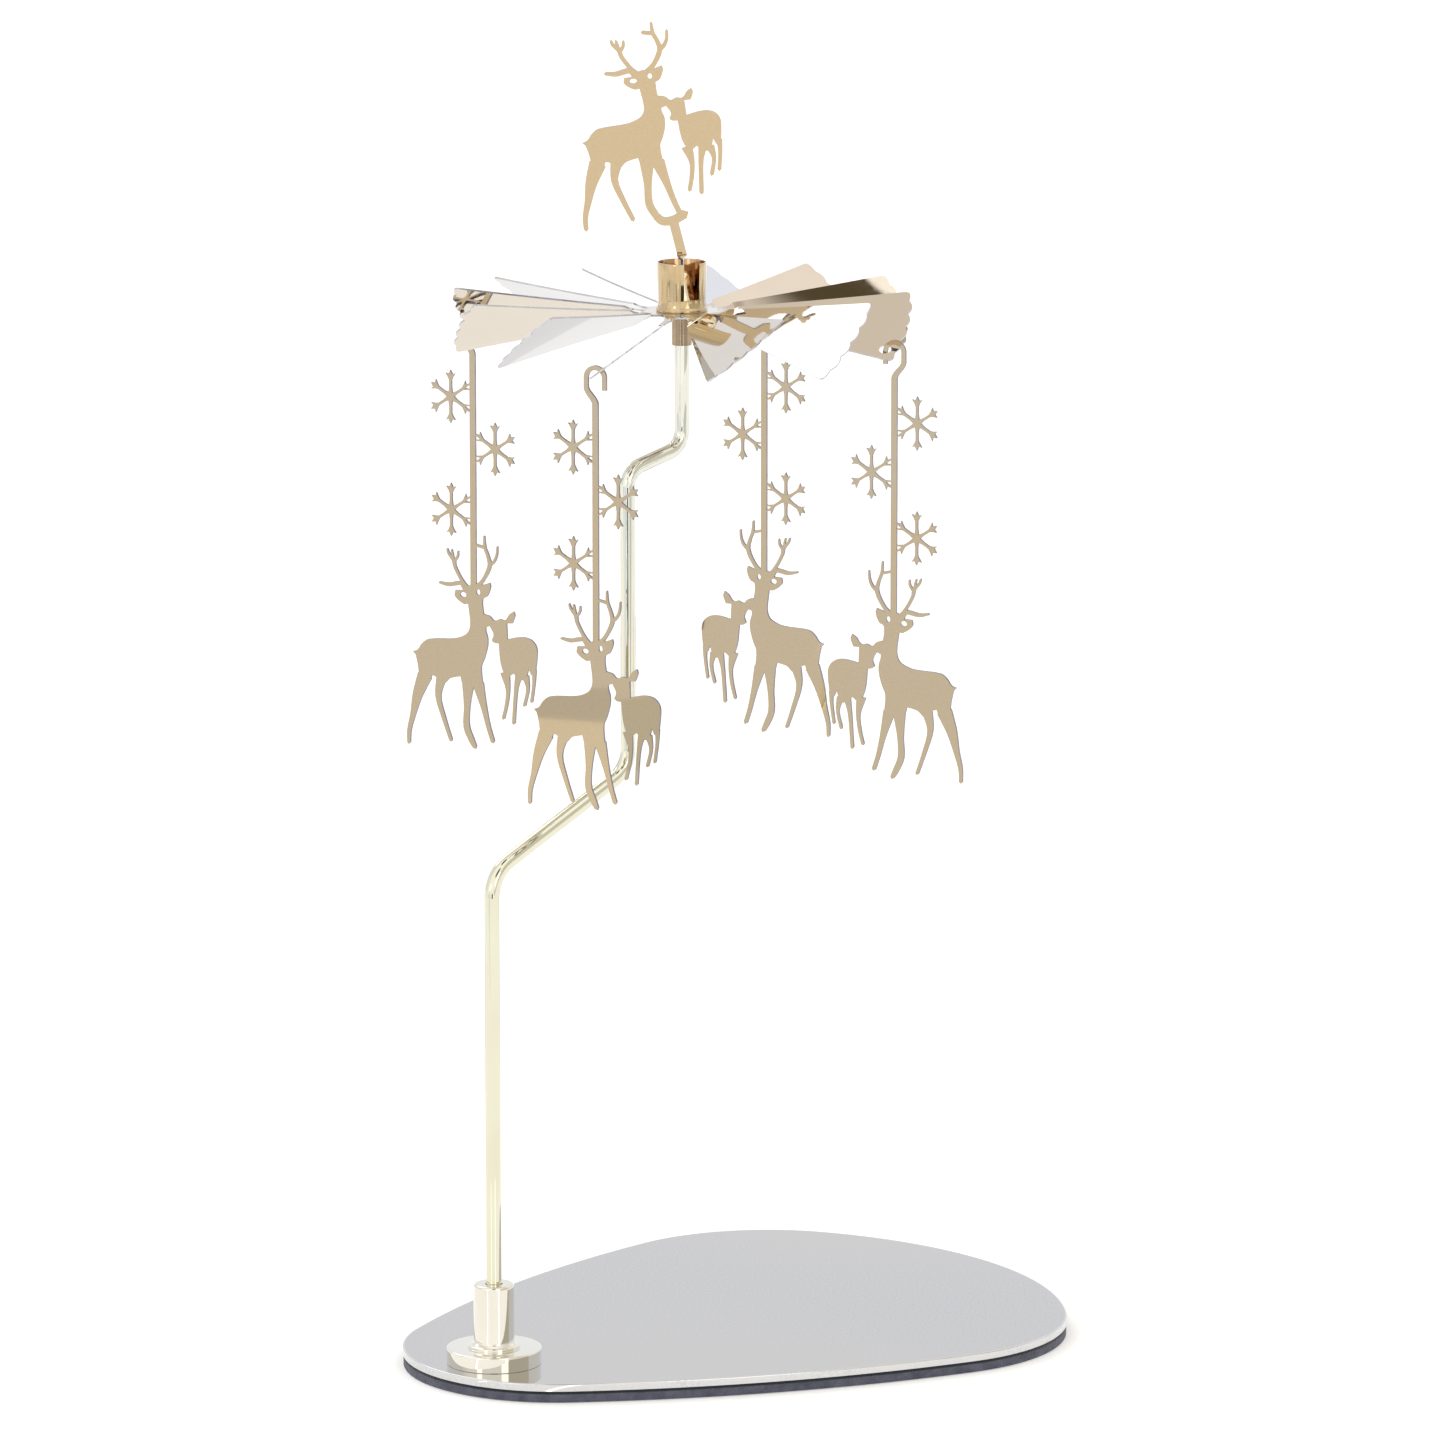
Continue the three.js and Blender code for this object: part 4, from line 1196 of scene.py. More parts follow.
@dataclass
class Fan:
    """One thin mirror sheet: a disc and twelve scalloped blades, each twisted at its neck.

    The strays are the blades that are turned further, by number and degrees.
    """

    thickness: float = 0.0005
    disc_radius: float = 0.0094
    shaft_hole_radius: float = 0.0029
    blade_count: int = 12
    span: float = 0.06
    blade_start: float = 0.0145
    sector: float = 24.6
    neck_width: float = 0.0034
    neck_root_width: float = 0.0044
    scallop_count: int = 4
    scallop_depth: float = 0.0009
    corner_radius: float = 0.0034
    pitch: float = 37.0
    droop: float = 2.0
    slack: float = 5.0
    cross_lines: int = 12
    first_azimuth: float = -13.5
    strays: tuple[Pair, ...] = ((4, -10.0), (5, -6.7), (11, 8.0))
    holed_every: int = 3
    hole_inset: float = 0.0044
    hole_from_side: float = 0.0035
    hole_radius: float = 0.0016
    twist_steps: int = 14
    scallop_steps: int = 12
    sharp: float = 25.0

    def half_chord(self, reach: float) -> float:
        """Gives half of a blade's width at a distance from the axis."""
        return reach * math.tan(math.radians(self.sector / 2))

    def neck_half(self, share: float) -> float:
        """Gives half of the neck's width: it narrows between the disc and the blade."""
        straight = self.neck_root_width / 2 * (1 - share) + self.half_chord(self.blade_start) * share
        return straight + (self.neck_width / 2 - straight) * math.sin(math.pi * share)

    def blade_outline(self) -> list[Vector]:
        """Draws a blade and its neck: straight sides that spread to a scalloped rim with round corners.

        Returns:
            The closed outline, anticlockwise, with the blade along X.
        """
        half_angle = math.radians(self.sector / 2)
        rim_half = half_angle - self.corner_radius / self.span
        steps = self.scallop_count * self.scallop_steps
        rim = []
        for i in range(steps + 1):
            share = i / steps
            wave = abs(math.sin(math.pi * self.scallop_count * share))
            reach = self.span - self.scallop_depth * (1 - wave)
            angle = rim_half * (2 * share - 1)
            rim.append(reach * Vector((math.cos(angle), math.sin(angle))))
        side = []
        for i in range(self.twist_steps + 1):
            share = i / self.twist_steps
            along = self.disc_radius + (self.blade_start - self.disc_radius) * share
            side.append(Vector((along, self.neck_half(share))))
        side_end = self.span - self.corner_radius
        for i in range(1, self.cross_lines):
            along = self.blade_start + (side_end - self.blade_start) * i / self.cross_lines
            side.append(Vector((along, self.half_chord(along))))
        start = Vector((side_end, self.half_chord(side_end)))
        corner = self.span * Vector((math.cos(half_angle), math.sin(half_angle)))
        for i in range(self.twist_steps // 2):
            share = 2 * i / self.twist_steps
            side.append(start.lerp(corner, share).lerp(corner.lerp(rim[-1], share), share))
        root_turn = math.asin(self.neck_root_width / 2 / self.disc_radius)
        root = arc(Vector((0, 0)), self.disc_radius, root_turn, -root_turn, self.twist_steps)
        other_side = [Vector((p.x, -p.y)) for p in side]
        return [*other_side, *rim, *reversed(side), *root]

    def flat_object(self, name: str, cutting: Cutting) -> Thing:
        """Puts a flat region into the scene for the tree to read.

        Args:
            name: The object's name.
            cutting: The flat region.

        Returns:
            The object.
        """
        mesh = bpy.data.meshes.new(name)
        flat = cutting.flat()
        mesh.from_pydata(flat.points, [], flat.faces)
        return linked(name, mesh)

    def thick(self, tree: GeometryTree, flat: Socket, thickness: Socket) -> Socket:
        """Gives flat faces their thickness, half above and half below, and marks their cut edges.

        Args:
            tree: The tree.
            flat: The flat geometry.
            thickness: The sheet's thickness.

        Returns:
            The closed sheet.
        """
        sink = tree.add("ShaderNodeCombineXYZ", Z=tree.times(thickness, -0.5))
        lowered = tree.add("GeometryNodeSetPosition", Geometry=flat, Offset=sink.outputs[0]).outputs[0]
        rise = {"Mesh": lowered, "Offset_Scale": thickness, "Individual": False}
        raised = tree.add("GeometryNodeExtrudeMesh", {"mode": "FACES"}, **rise).outputs
        mark = {"Geometry": raised["Mesh"], "Name": "cut_edge", "Value": raised["Side"]}
        of_faces = {"data_type": "BOOLEAN", "domain": "FACE"}
        marked = tree.add("GeometryNodeStoreNamedAttribute", of_faces, **mark)
        under = tree.add("GeometryNodeFlipFaces", Mesh=lowered).outputs[0]
        both = tree.add("GeometryNodeJoinGeometry")
        tree.feed(both.inputs[0], marked.outputs[0])
        tree.feed(both.inputs[0], under)
        return tree.add("GeometryNodeMergeByDistance", Geometry=both.outputs[0], Distance=SAME_POINT).outputs[0]

    def tree(self, blades: dict[str, Thing], finishes: Finishes) -> GeometryTree:
        """Twists the flat blades at their necks and sets them round the disc.

        Args:
            blades: The flat blades, "plain" and "holed".
            finishes: The carousel's finishes.

        Returns:
            The tree, whose input geometry is the flat disc.
        """
        tree = GeometryTree("twelve_blades")
        count = tree.size("Blades", self.blade_count, "Int")
        thickness = tree.size("Sheet Thickness", self.thickness)
        twist_start = tree.size("Twist Start", self.disc_radius)
        twist_end = tree.size("Twist End", self.blade_start)
        pitch = tree.size("Pitch", math.radians(self.pitch))
        droop = tree.size("Droop", math.radians(self.droop))
        slack = tree.size("Slack", math.radians(self.slack))
        span = tree.size("Span", self.span)
        first = tree.size("First Azimuth", math.radians(self.first_azimuth))
        holed_every = tree.size("Holed Every", self.holed_every, "Int")
        face = tree.size("Mirror Face", finishes.fan, "Material")
        edge = tree.size("Cut Edge", finishes.fan_edge, "Material")
        place = tree.add("GeometryNodeInputPosition").outputs[0]
        along = tree.add("ShaderNodeSeparateXYZ", Vector=place).outputs["X"]
        part = tree.climb(along, twist_start, twist_end)
        lag = tree.times(slack, tree.math("SUBTRACT", 1.0, tree.climb(along, twist_end, span)))
        angle = tree.times(tree.math("SUBTRACT", pitch, lag), part)
        pitched = tree.add("ShaderNodeVectorRotate", {"rotation_type": "X_AXIS"}, Vector=place, Angle=angle)
        sag = {"Vector": pitched.outputs[0], "Angle": tree.times(droop, part)}
        drooped = tree.add("ShaderNodeVectorRotate", {"rotation_type": "Y_AXIS"}, **sag).outputs[0]
        index = tree.add("GeometryNodeInputIndex").outputs[0]
        turn = tree.math("ADD", first, tree.math("DIVIDE", tree.times(index, FULL_TURN), count))
        stray = 0.0
        for number, extra in self.strays:
            amount = tree.size(f"Stray {number}", math.radians(extra))
            chosen = tree.math("COMPARE", index, number)
            stray = tree.math("ADD", stray, tree.times(chosen, amount))
        euler = tree.add("ShaderNodeCombineXYZ", X=stray, Z=turn)
        rotation = tree.add("FunctionNodeEulerToRotation", Euler=euler.outputs[0]).outputs[0]
        holed = tree.math("LESS_THAN", tree.math("MODULO", index, holed_every), 0.5)
        plain = tree.math("SUBTRACT", 1.0, holed)
        points = tree.add("GeometryNodePoints", Count=count).outputs[0]
        whole = tree.add("GeometryNodeJoinGeometry")
        tree.feed(whole.inputs[0], self.thick(tree, tree.start.outputs["Geometry"], thickness))
        for name, chosen in (("plain", plain), ("holed", holed)):
            source = tree.size(name.title() + " Blade", blades[name], "Object")
            flat = tree.add("GeometryNodeObjectInfo", Object=source).outputs["Geometry"]
            sheet = self.thick(tree, flat, thickness)
            blade = tree.add("GeometryNodeSetPosition", Geometry=sheet, Position=drooped).outputs[0]
            spot = {"Points": points, "Selection": chosen, "Rotation": rotation}
            tree.feed(whole.inputs[0], tree.add("GeometryNodeInstanceOnPoints", Instance=blade, **spot).outputs[0])
        tree.finish_with(whole.outputs[0], face, edge)
        return tree

    def build(self, finishes: Finishes, disc_height: float) -> None:
        """Builds the fan.

        Args:
            finishes: The carousel's finishes.
            disc_height: The height of the disc's middle plane.
        """
        outline = self.blade_outline()
        folds = [(p, Vector((p.x, -p.y))) for p in outline[: self.twist_steps + self.cross_lines + 1]]
        reach = self.span - self.hole_inset
        centre = Vector((reach, self.hole_from_side - self.half_chord(reach)))
        hole = circle(centre, self.hole_radius, steps=40)
        blades = {
            "plain": self.flat_object("plain_blade", Cutting([outline], folds=folds)),
            "holed": self.flat_object("holed_blade", Cutting([outline], [hole], folds)),
        }
        middle = Vector((0, 0))
        rim = circle(middle, self.disc_radius, steps=144)
        shaft = circle(middle, self.shaft_hole_radius, steps=48)
        disc = self.flat_object("fan_disc", Cutting([rim], [shaft]))
        fan = self.tree(blades, finishes).run("mirror_fan", disc, self.sharp)
        fan.data.transform(Matrix.Translation((0, 0, disc_height)))
        for blade in blades.values():
            bpy.data.objects.remove(blade)
        settle(fan, Body.ROTOR.value, "fan")


@dataclass
class HubCup:
    """The slotted spring cup: a thin wall that widens to its rim, on a flared foot with an inner lip."""

    wall: float = 0.0005
    rim_radius: float = 0.00645
    waist_radius: float = 0.00615
    foot_radius: float = 0.00675
    foot_height: float = 0.0026
    foot_band: float = 0.0009
    foot_rounds: Triple = (0.0001, 0.0002, 0.0005)
    floor_thickness: float = 0.0006
    lip_radius: float = 0.0049
    slot_azimuth: float = -64.0
    slot_width: float = 0.0044
    slot_depth: float = 0.0093
    slit_azimuth: float = 90.0
    slit_width: float = 0.001
    slit_depth: float = 0.0066
    collar_radius: float = 0.0056
    collar_rounds: Pair = (0.6, 1 / 6)
    column_step: float = 3.5
    fewest_columns: int = 4

    def columns(self) -> list[Pair]:
        """Spaces the wall's upright seams.

        Returns:
            Each seam's azimuth in radians and how deep the wall is cut after it.
        """
        bounds = []
        for azimuth, width, depth in (
            (self.slot_azimuth, self.slot_width, self.slot_depth),
            (self.slit_azimuth, self.slit_width, self.slit_depth),
        ):
            half = math.degrees(math.asin(width / 2 / self.rim_radius))
            bounds += [(azimuth - half, depth), (azimuth + half, 0.0)]
        columns = []
        for i, (start, depth) in enumerate(bounds):
            end = bounds[i + 1][0] if i + 1 < len(bounds) else bounds[0][0] + 360
            count = max(self.fewest_columns, round((end - start) / self.column_step))
            columns += [(math.radians(start + (end - start) * k / count), depth) for k in range(count)]
        return columns

    def cup(self, foot: float, top: float) -> Shell:
        """Builds the cup with its wide front slot and its narrow rear slit.

        Args:
            foot: The height of its underside.
            top: The height of its rim.

        Returns:
            The closed surface.
        """
        waist, band = foot + self.foot_height, self.foot_band
        fine, soft, broad = self.foot_rounds
        foot_profile = [
            (self.lip_radius, foot, 0),
            (self.foot_radius - band / 5, foot, fine),
            (self.foot_radius, foot + band / 3, soft),
            (self.foot_radius, foot + band * 0.7, soft),
            (self.waist_radius + band / 4, foot + band * 1.4, broad),
            (self.waist_radius, waist, 0.0),
            (self.lip_radius, waist, 0.0),
        ]
        low_outer = softened(foot_profile, steps=4)[:-1]
        cuts = [top - self.slot_depth, top - self.slit_depth, top - self.wall, top]
        flare = (self.rim_radius - self.waist_radius) / (top - waist)
        outer = [(self.waist_radius + flare * (z - waist), z) for z in cuts]
        outer[-1] = (outer[-1][0] - self.wall / 4, top)
        inner = [(radius - self.wall, z) for radius, z in outer]
        inner[-1] = (outer[-1][0] - self.wall / 2, top)
        floor, inside = foot + self.floor_thickness, self.waist_radius - self.wall
        tail = [(inside, waist), (inside, floor), (self.lip_radius, floor)]
        shell = Shell()
        columns = self.columns()

        def ring_point(azimuth: float, point: Pair) -> int:
            """Adds a point of the profile at an azimuth and returns its number."""
            return shell.add_point(point[0] * math.cos(azimuth), point[0] * math.sin(azimuth), point[1])

        profile = [*low_outer, *outer, *reversed(inner), *tail]
        rings = [[ring_point(azimuth, point) for point in profile] for azimuth, _ in columns]
        first, last = len(low_outer), len(low_outer) + 2 * len(cuts) - 1
        levels = []
        for _, depth in columns:
            levels.append(min(i for i, height in enumerate(cuts) if height >= top - depth - SAME_POINT))
        for k, (ring, level) in enumerate(zip(rings, levels)):
            after = rings[(k + 1) % len(rings)]
            kept = [*range(first + level + 1), *range(last - level, len(profile))]
            for near, far in zip(kept, kept[1:] + kept[:1]):
                # Faces inside the cup take the darker finish, which is painted shade.
                finish = int(near >= first + len(cuts))
                shell.add_face(ring[near], after[near], after[far], ring[far], finish=finish)
            before = levels[k - 1]
            for i in range(min(before, level), max(before, level)):
                corners = [ring[first + i], ring[first + i + 1], ring[last - i - 1], ring[last - i]]
                shell.add_face(*(corners if before > level else reversed(corners)))
        return shell

    def build(self, finishes: Finishes, disc_height: float) -> None:
        """Builds the cup and the collar below the fan, both seated on the fan's disc.

        Args:
            finishes: The carousel's finishes.
            disc_height: The height of the disc's middle plane.
        """
        half_sheet, bore = Fan.thickness / 2, Fan.shaft_hole_radius
        cup = self.cup(disc_height + half_sheet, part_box("hub_cup")[1].z)
        cup.install("spring_cup", Body.ROTOR, "hub_cup", "cup", finishes.cup, finishes.cup_inside)
        low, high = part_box("lower_collar")[0].z, disc_height - half_sheet
        lower_round, upper_round = (share * (high - low) for share in self.collar_rounds)
        corners = [
            (bore, low, 0),
            (self.collar_radius, low, lower_round),
            (self.collar_radius, high, upper_round),
            (bore, high, 0),
        ]
        turned(softened(corners), segments=72).install("lower_ring", Body.ROTOR, "lower_collar", "fan", finishes.fan)


STAG_SHARES = [
    (0.49, 0.765), (0.445, 0.742), (0.383, 0.738), (0.38, 0.71), (0.445, 0.677), (0.479, 0.678),
    (0.495, 0.59), (0.484, 0.555), (0.456, 0.534), (0.374, 0.513), (0.176, 0.502), (0.126, 0.48),
    (0.093, 0.45), (0.057, 0.44), (0.078, 0.424), (0.1, 0.348), (0.095, 0.3), (0.18, 0.3),
    (0.2, 0.335), (0.225, 0.33), (0.3, 0.3), (0.34, 0.325), (0.418, 0.338), (0.44, 0.3),
    (0.51, 0.29), (0.587, 0.3), (0.577, 0.388), (0.602, 0.43), (0.624, 0.483), (0.626, 0.523),
    (0.611, 0.56), (0.614, 0.6), (0.595, 0.64), (0.59, 0.703), (0.624, 0.718), (0.65, 0.762),
    (0.643, 0.782), (0.577, 0.768),
]
DOE_SHARES = [
    (0.6, 0.634), (0.644, 0.626), (0.677, 0.607), (0.716, 0.616), (0.758, 0.613), (0.791, 0.641),
    (0.824, 0.656), (0.833, 0.636), (0.813, 0.6), (0.77, 0.599), (0.775, 0.525), (0.846, 0.536),
    (0.912, 0.538), (0.962, 0.526), (0.995, 0.497), (1, 0.456), (0.985, 0.37), (0.955, 0.365),
    (0.935, 0.395), (0.915, 0.34), (0.877, 0.34), (0.82, 0.368), (0.765, 0.34), (0.725, 0.409),
    (0.71, 0.503), (0.677, 0.505), (0.657, 0.515), (0.671, 0.544), (0.643, 0.581), (0.6, 0.57),
]
LEG_SHARES = [
    [(0.145, 0.33, 0.11), (0.09, 0.24, 0.075), (0.055, 0.15, 0.042), (0.024, 0.07, 0.03), (0.021, 0.012, 0.024)],
    [(0.275, 0.335, 0.08), (0.247, 0.24, 0.042), (0.29, 0.135, 0.03), (0.342, 0.037, 0.024)],
    [(0.475, 0.31, 0.09), (0.466, 0.2, 0.046), (0.462, 0.105, 0.046), (0.498, 0.045, 0.042), (0.524, 0.012, 0.03)],
    [(0.55, 0.31, 0.085), (0.594, 0.2, 0.044), (0.628, 0.11, 0.032), (0.66, 0.044, 0.03)],
    [(0.755, 0.37, 0.07), (0.777, 0.29, 0.03), (0.766, 0.22, 0.024), (0.742, 0.155, 0.022)],
    [(0.858, 0.36, 0.05), (0.838, 0.29, 0.028), (0.82, 0.136, 0.024)],
    [(0.91, 0.36, 0.05), (0.928, 0.3, 0.024), (0.902, 0.222, 0.022)],
    [(0.976, 0.39, 0.034), (0.974, 0.33, 0.022), (0.956, 0.242, 0.02)],
]
ANTLER_SHARES = [
    [(0.484, 0.742, 0.037), (0.436, 0.78, 0.024), (0.38, 0.846, 0.022), (0.369, 0.878, 0.026),
     (0.332, 0.907, 0.017), (0.322, 0.926, 0.012)],
    [(0.369, 0.878, 0.018), (0.355, 0.923, 0.012)],
    [(0.374, 0.87, 0.02), (0.4, 0.895, 0.016), (0.404, 0.918, 0.012)],
    [(0.45, 0.776, 0.029), (0.387, 0.769, 0.03), (0.33, 0.762, 0.026), (0.262, 0.769, 0.015)],
    [(0.425, 0.776, 0.022), (0.46, 0.735, 0.024)],
    [(0.54, 0.755, 0.037), (0.591, 0.791, 0.026), (0.642, 0.86, 0.029), (0.629, 0.906, 0.022),
     (0.607, 0.945, 0.02), (0.602, 0.995, 0.012)],
    [(0.611, 0.942, 0.02), (0.538, 0.953, 0.018)],
    [(0.637, 0.858, 0.024), (0.676, 0.882, 0.02), (0.696, 0.913, 0.016), (0.701, 0.95, 0.012)],
]
EYE_SHARES = [(0.557, 0.735, 0.015, 0.014), (0.443, 0.719, 0.024, 0.012)]
STEM_FOOT_SHARES = (0.52, 0.755)
GROUND_BAR_SHARES = [(0.5, 0.04, 0.046), (0.54, 0.014, 0.05), (0.61, 0.013, 0.052), (0.69, 0.037, 0.054)]
GROUND_STEM_SHARES = (0.61, 0.01)


@dataclass(frozen=True)
class Deer:
    """A stag and doe cut from sheet, drawn as shares of the figure's width and height."""

    width: float
    height: float
    origin: Pair
    extra_limbs: tuple = ()
    limb_extra: float = 0.0

    def scaled(self, x: float, y: float) -> Pair:
        """Turns shares into lengths from the figure's origin."""
        return (x - self.origin[0]) * self.width, (y - self.origin[1]) * self.height

    def outlines(self) -> list[list[Vector]]:
        """Draws the two bodies, their legs and the antlers.

        Returns:
            The closed smooth outlines, which may overlap.
        """
        drawn = []
        for shares in (STAG_SHARES, DOE_SHARES):
            body = flowing([self.scaled(x, y) for x, y in shares], closed=True)
            drawn.append([Vector(p) for p in body])
        for shares in (*LEG_SHARES, *ANTLER_SHARES, *self.extra_limbs):
            points = [(*self.scaled(x, y), (width + self.limb_extra) * self.width) for x, y, width in shares]
            drawn.append(limb(flowing(points, closed=False)))
        return drawn

    def eyes(self) -> list[list[Vector]]:
        """Draws the small openings in the stag's head.

        Returns:
            The closed outlines.
        """
        drawn = []
        for x, y, across, up in EYE_SHARES:
            ring = circle(Vector((0, 0)), 1.0, steps=16)
            middle = Vector(self.scaled(x, y))
            drawn.append([middle + Vector((p.x * across * self.width, p.y * up * self.height)) for p in ring])
        return drawn


@dataclass(frozen=True)
class Snowflake:
    """A six-armed snowflake whose arms end in three prongs, in shares of its radius."""

    radius: float = 0.0063
    stretch: float = 1.12
    offset: float = 0.0062
    reach: float = 0.0003
    spread: float = 1.14
    gap: float = 0.84
    notch: float = 0.17
    arm: tuple[Pair, ...] = ((0.34, 0.055), (0.62, 0.055), (0.72, 0.1), (0.88, 0.21), (0.84, 0.085))

    def outline(self, aside: float, below: float, stem_width: float) -> list[Vector]:
        """Draws the snowflake beside the stem.

        Args:
            aside: How far its middle lies from the stem's middle line.
            below: How far its middle lies below the hook's centre.
            stem_width: How wide the stem is.

        Returns:
            The outline. The prongs that reach the stem run on to its middle line, so the small gaps between them
            stay open.
        """
        edge = abs(aside) - stem_width / 2 - self.reach
        start = (self.notch * math.cos(math.pi / 6), -self.notch * math.sin(math.pi / 6))
        arm = [start, *((along, -across) for along, across in self.arm), (1.0, 0.0), *reversed(self.arm)]
        outline = []
        for number in range(6):
            turn = Matrix.Rotation(math.pi / 2 + number * math.pi / 3, 2)
            for point in arm:
                x, y = self.radius * (turn @ Vector(point))
                if x * aside < 0 and abs(x) > edge:
                    x, y = -aside, y * self.spread
                elif x * aside < 0 and abs(x) > edge - self.reach * 2:
                    x *= self.gap
                outline.append(Vector((aside + x, y * self.stretch - below)))
        return outline


@dataclass
class Hangers:
    """The four flat ornaments: a hook, a stem with three snowflakes, and a stag and doe."""

    thickness: float = 0.0008
    stem_width: float = 0.0016
    hook_bar: float = 0.0012
    hook_radius: float = 0.0025
    hook_tail: float = 0.0032
    hook_leg: float = 0.0024
    hook_jog: float = 0.0046
    snowflake: Snowflake = Snowflake()
    snowflake_drops: Triple = (0.0182, 0.0315, 0.0481)
    head_drop: float = 0.0685
    figure_width: float = 0.0372
    figure_height: float = 0.0573
    curve_steps: int = 20

    def strip(self) -> list[Vector]:
        """Draws the hook, its jog and the stem as one bent strip.

        Returns:
            The closed outline, with the hook's centre at the origin.
        """
        radius = self.hook_radius
        points = [(radius, -self.hook_tail, self.hook_bar)]
        for i in range(self.curve_steps + 1):
            angle = math.pi * i / self.curve_steps
            points.append((radius * math.cos(angle), radius * math.sin(angle), self.hook_bar))
        for i in range(self.curve_steps + 1):
            share = i / self.curve_steps
            ease = (1 - math.cos(math.pi * share)) / 2
            width = self.hook_bar + (self.stem_width - self.hook_bar) * share
            points.append((radius * (ease - 1), -self.hook_leg - self.hook_jog * share, width))
        points.append((0.0, -self.head_drop - self.stem_width, self.stem_width))
        return limb(points)

    def cutting(self) -> Cutting:
        """Cuts the whole ornament out of one sheet.

        Returns:
            The region, with the hook's centre at the origin.
        """
        deer = Deer(self.figure_width, self.figure_height, STEM_FOOT_SHARES)
        drop = Vector((0, -self.head_drop))
        outlines = [self.strip()]
        for i, below in enumerate(self.snowflake_drops):
            aside = self.snowflake.offset * (1 if i % 2 else -1)
            outlines.append(self.snowflake.outline(aside, below, self.stem_width))
        outlines += [[p + drop for p in outline] for outline in deer.outlines()]
        return Cutting(outlines, [[p + drop for p in eye] for eye in deer.eyes()])

    def build(self, finishes: Finishes, joints: Sequence[dict]) -> None:
        """Builds one ornament at each hook's hinge.

        Args:
            finishes: The carousel's finishes.
            joints: The record's joints. An ornament's hinge runs through its hook's centre, square to its sheet.
        """
        cutting = self.cutting()
        for joint in joints:
            node = joint["child"]
            if not node.startswith("ornament"):
                continue
            over = HookOver.SIDE if joint["range_deg"][0] == -joint["range_deg"][1] else HookOver.RIM
            facing = Vector(joint["axis"]).normalized() * (1 if over is HookOver.SIDE else -1)
            up = Vector((0, 0, 1))
            across = up.cross(facing)
            turn = Matrix((across, up, facing)).transposed().to_4x4()
            place = Matrix.Translation(joint["pos_m"]) @ turn
            sheet = cutting.sheet(self.thickness).placed(place)
            name = node.replace("ornament", "hanger")
            settle(sheet.piece(name, finishes.satin, finishes.cut_edge), node, node)


@dataclass
class TopFigure:
    """The stag and doe on top, on a stem that is twisted above the cup and set in its rear slit."""

    thickness: float = 0.0008
    width: float = 0.0384
    height: float = 0.0524
    lean: float = 6.0
    stem_length: float = 0.0098
    stem_width: float = 0.0025
    stem_lean: float = -0.0022
    twist_length: float = 0.0015
    tab_width: float = 0.0022
    tab_middle: float = 0.0062
    sunk: float = 0.0002
    sheet_share: float = 0.96
    limb_extra: float = 0.007
    twist_steps: int = 16

    def stem(self, tab_foot: float, cup_top: float) -> Shell:
        """Builds the tab, the quarter twist above the cup and the leaning stem.

        Args:
            tab_foot: The height of the tab's lower end.
            cup_top: The height of the cup's rim.

        Returns:
            The closed surface.
        """
        stations = [(tab_foot, 0.0, self.tab_width, math.pi / 2)]
        for i in range(self.twist_steps + 1):
            share = i / self.twist_steps
            height = cup_top - self.sunk + self.twist_length * share
            stations.append((height, 0.0, self.stem_width, math.pi / 2 * (1 - share)))
        stations.append((cup_top + self.stem_length, self.stem_lean, self.stem_width, 0.0))
        shell = Shell()
        rings = []
        for height, aside, width, turn in stations:
            spin = Matrix.Rotation(turn, 2)
            half, thick = width / 2, self.thickness * self.sheet_share / 2
            corners = [spin @ Vector(c) for c in ((-half, -thick), (half, -thick), (half, thick), (-half, thick))]
            rings.append([shell.add_point(aside + c.x, self.tab_middle + c.y, height) for c in corners])
        for low, high in zip(rings, rings[1:]):
            for i in range(4):
                after = (i + 1) % 4
                shell.add_face(low[i], low[after], high[after], high[i], finish=i % 2)
        shell.add_face(*reversed(rings[0]), finish=1)
        shell.add_face(*rings[-1])
        return shell

    def build(self, finishes: Finishes) -> None:
        """Builds the top figure.

        Args:
            finishes: The carousel's finishes.
        """
        cup_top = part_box("hub_cup")[1].z
        deer = Deer(self.width, self.height, GROUND_STEM_SHARES, (GROUND_BAR_SHARES,), self.limb_extra)
        place = Matrix.Translation((self.stem_lean, self.tab_middle, cup_top + self.stem_length))
        place = place @ Matrix.Rotation(math.pi / 2, 4, "X") @ Matrix.Rotation(math.radians(self.lean), 4, "Z")
        figure = Cutting(deer.outlines(), deer.eyes()).sheet(self.thickness).placed(place)
        figure.joined(self.stem(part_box("top_figure")[0].z, cup_top))
        piece = figure.piece("deer_topper", finishes.satin, finishes.cut_edge)
        settle(piece, Body.ROTOR.value, "top_figure")


@dataclass(frozen=True)
class SkyPatch:
    """A soft round patch of the surround: a softbox, or a darker gap between two."""

    direction: Triple
    full: float
    gone: float
    colour: Colour


@dataclass(frozen=True)
class Card:
    """A card that only mirrors see: its brightness and its corners, which are flat where it lies at a height."""

    name: str
    colour: Colour
    corners: tuple[Pair, ...] | tuple[Triple, ...]
    height: float | None = None

    def places(self) -> Sequence[Triple]:
        """Gives the corners in space."""
        return self.corners if self.height is None else [(x, y, self.height) for x, y in self.corners]


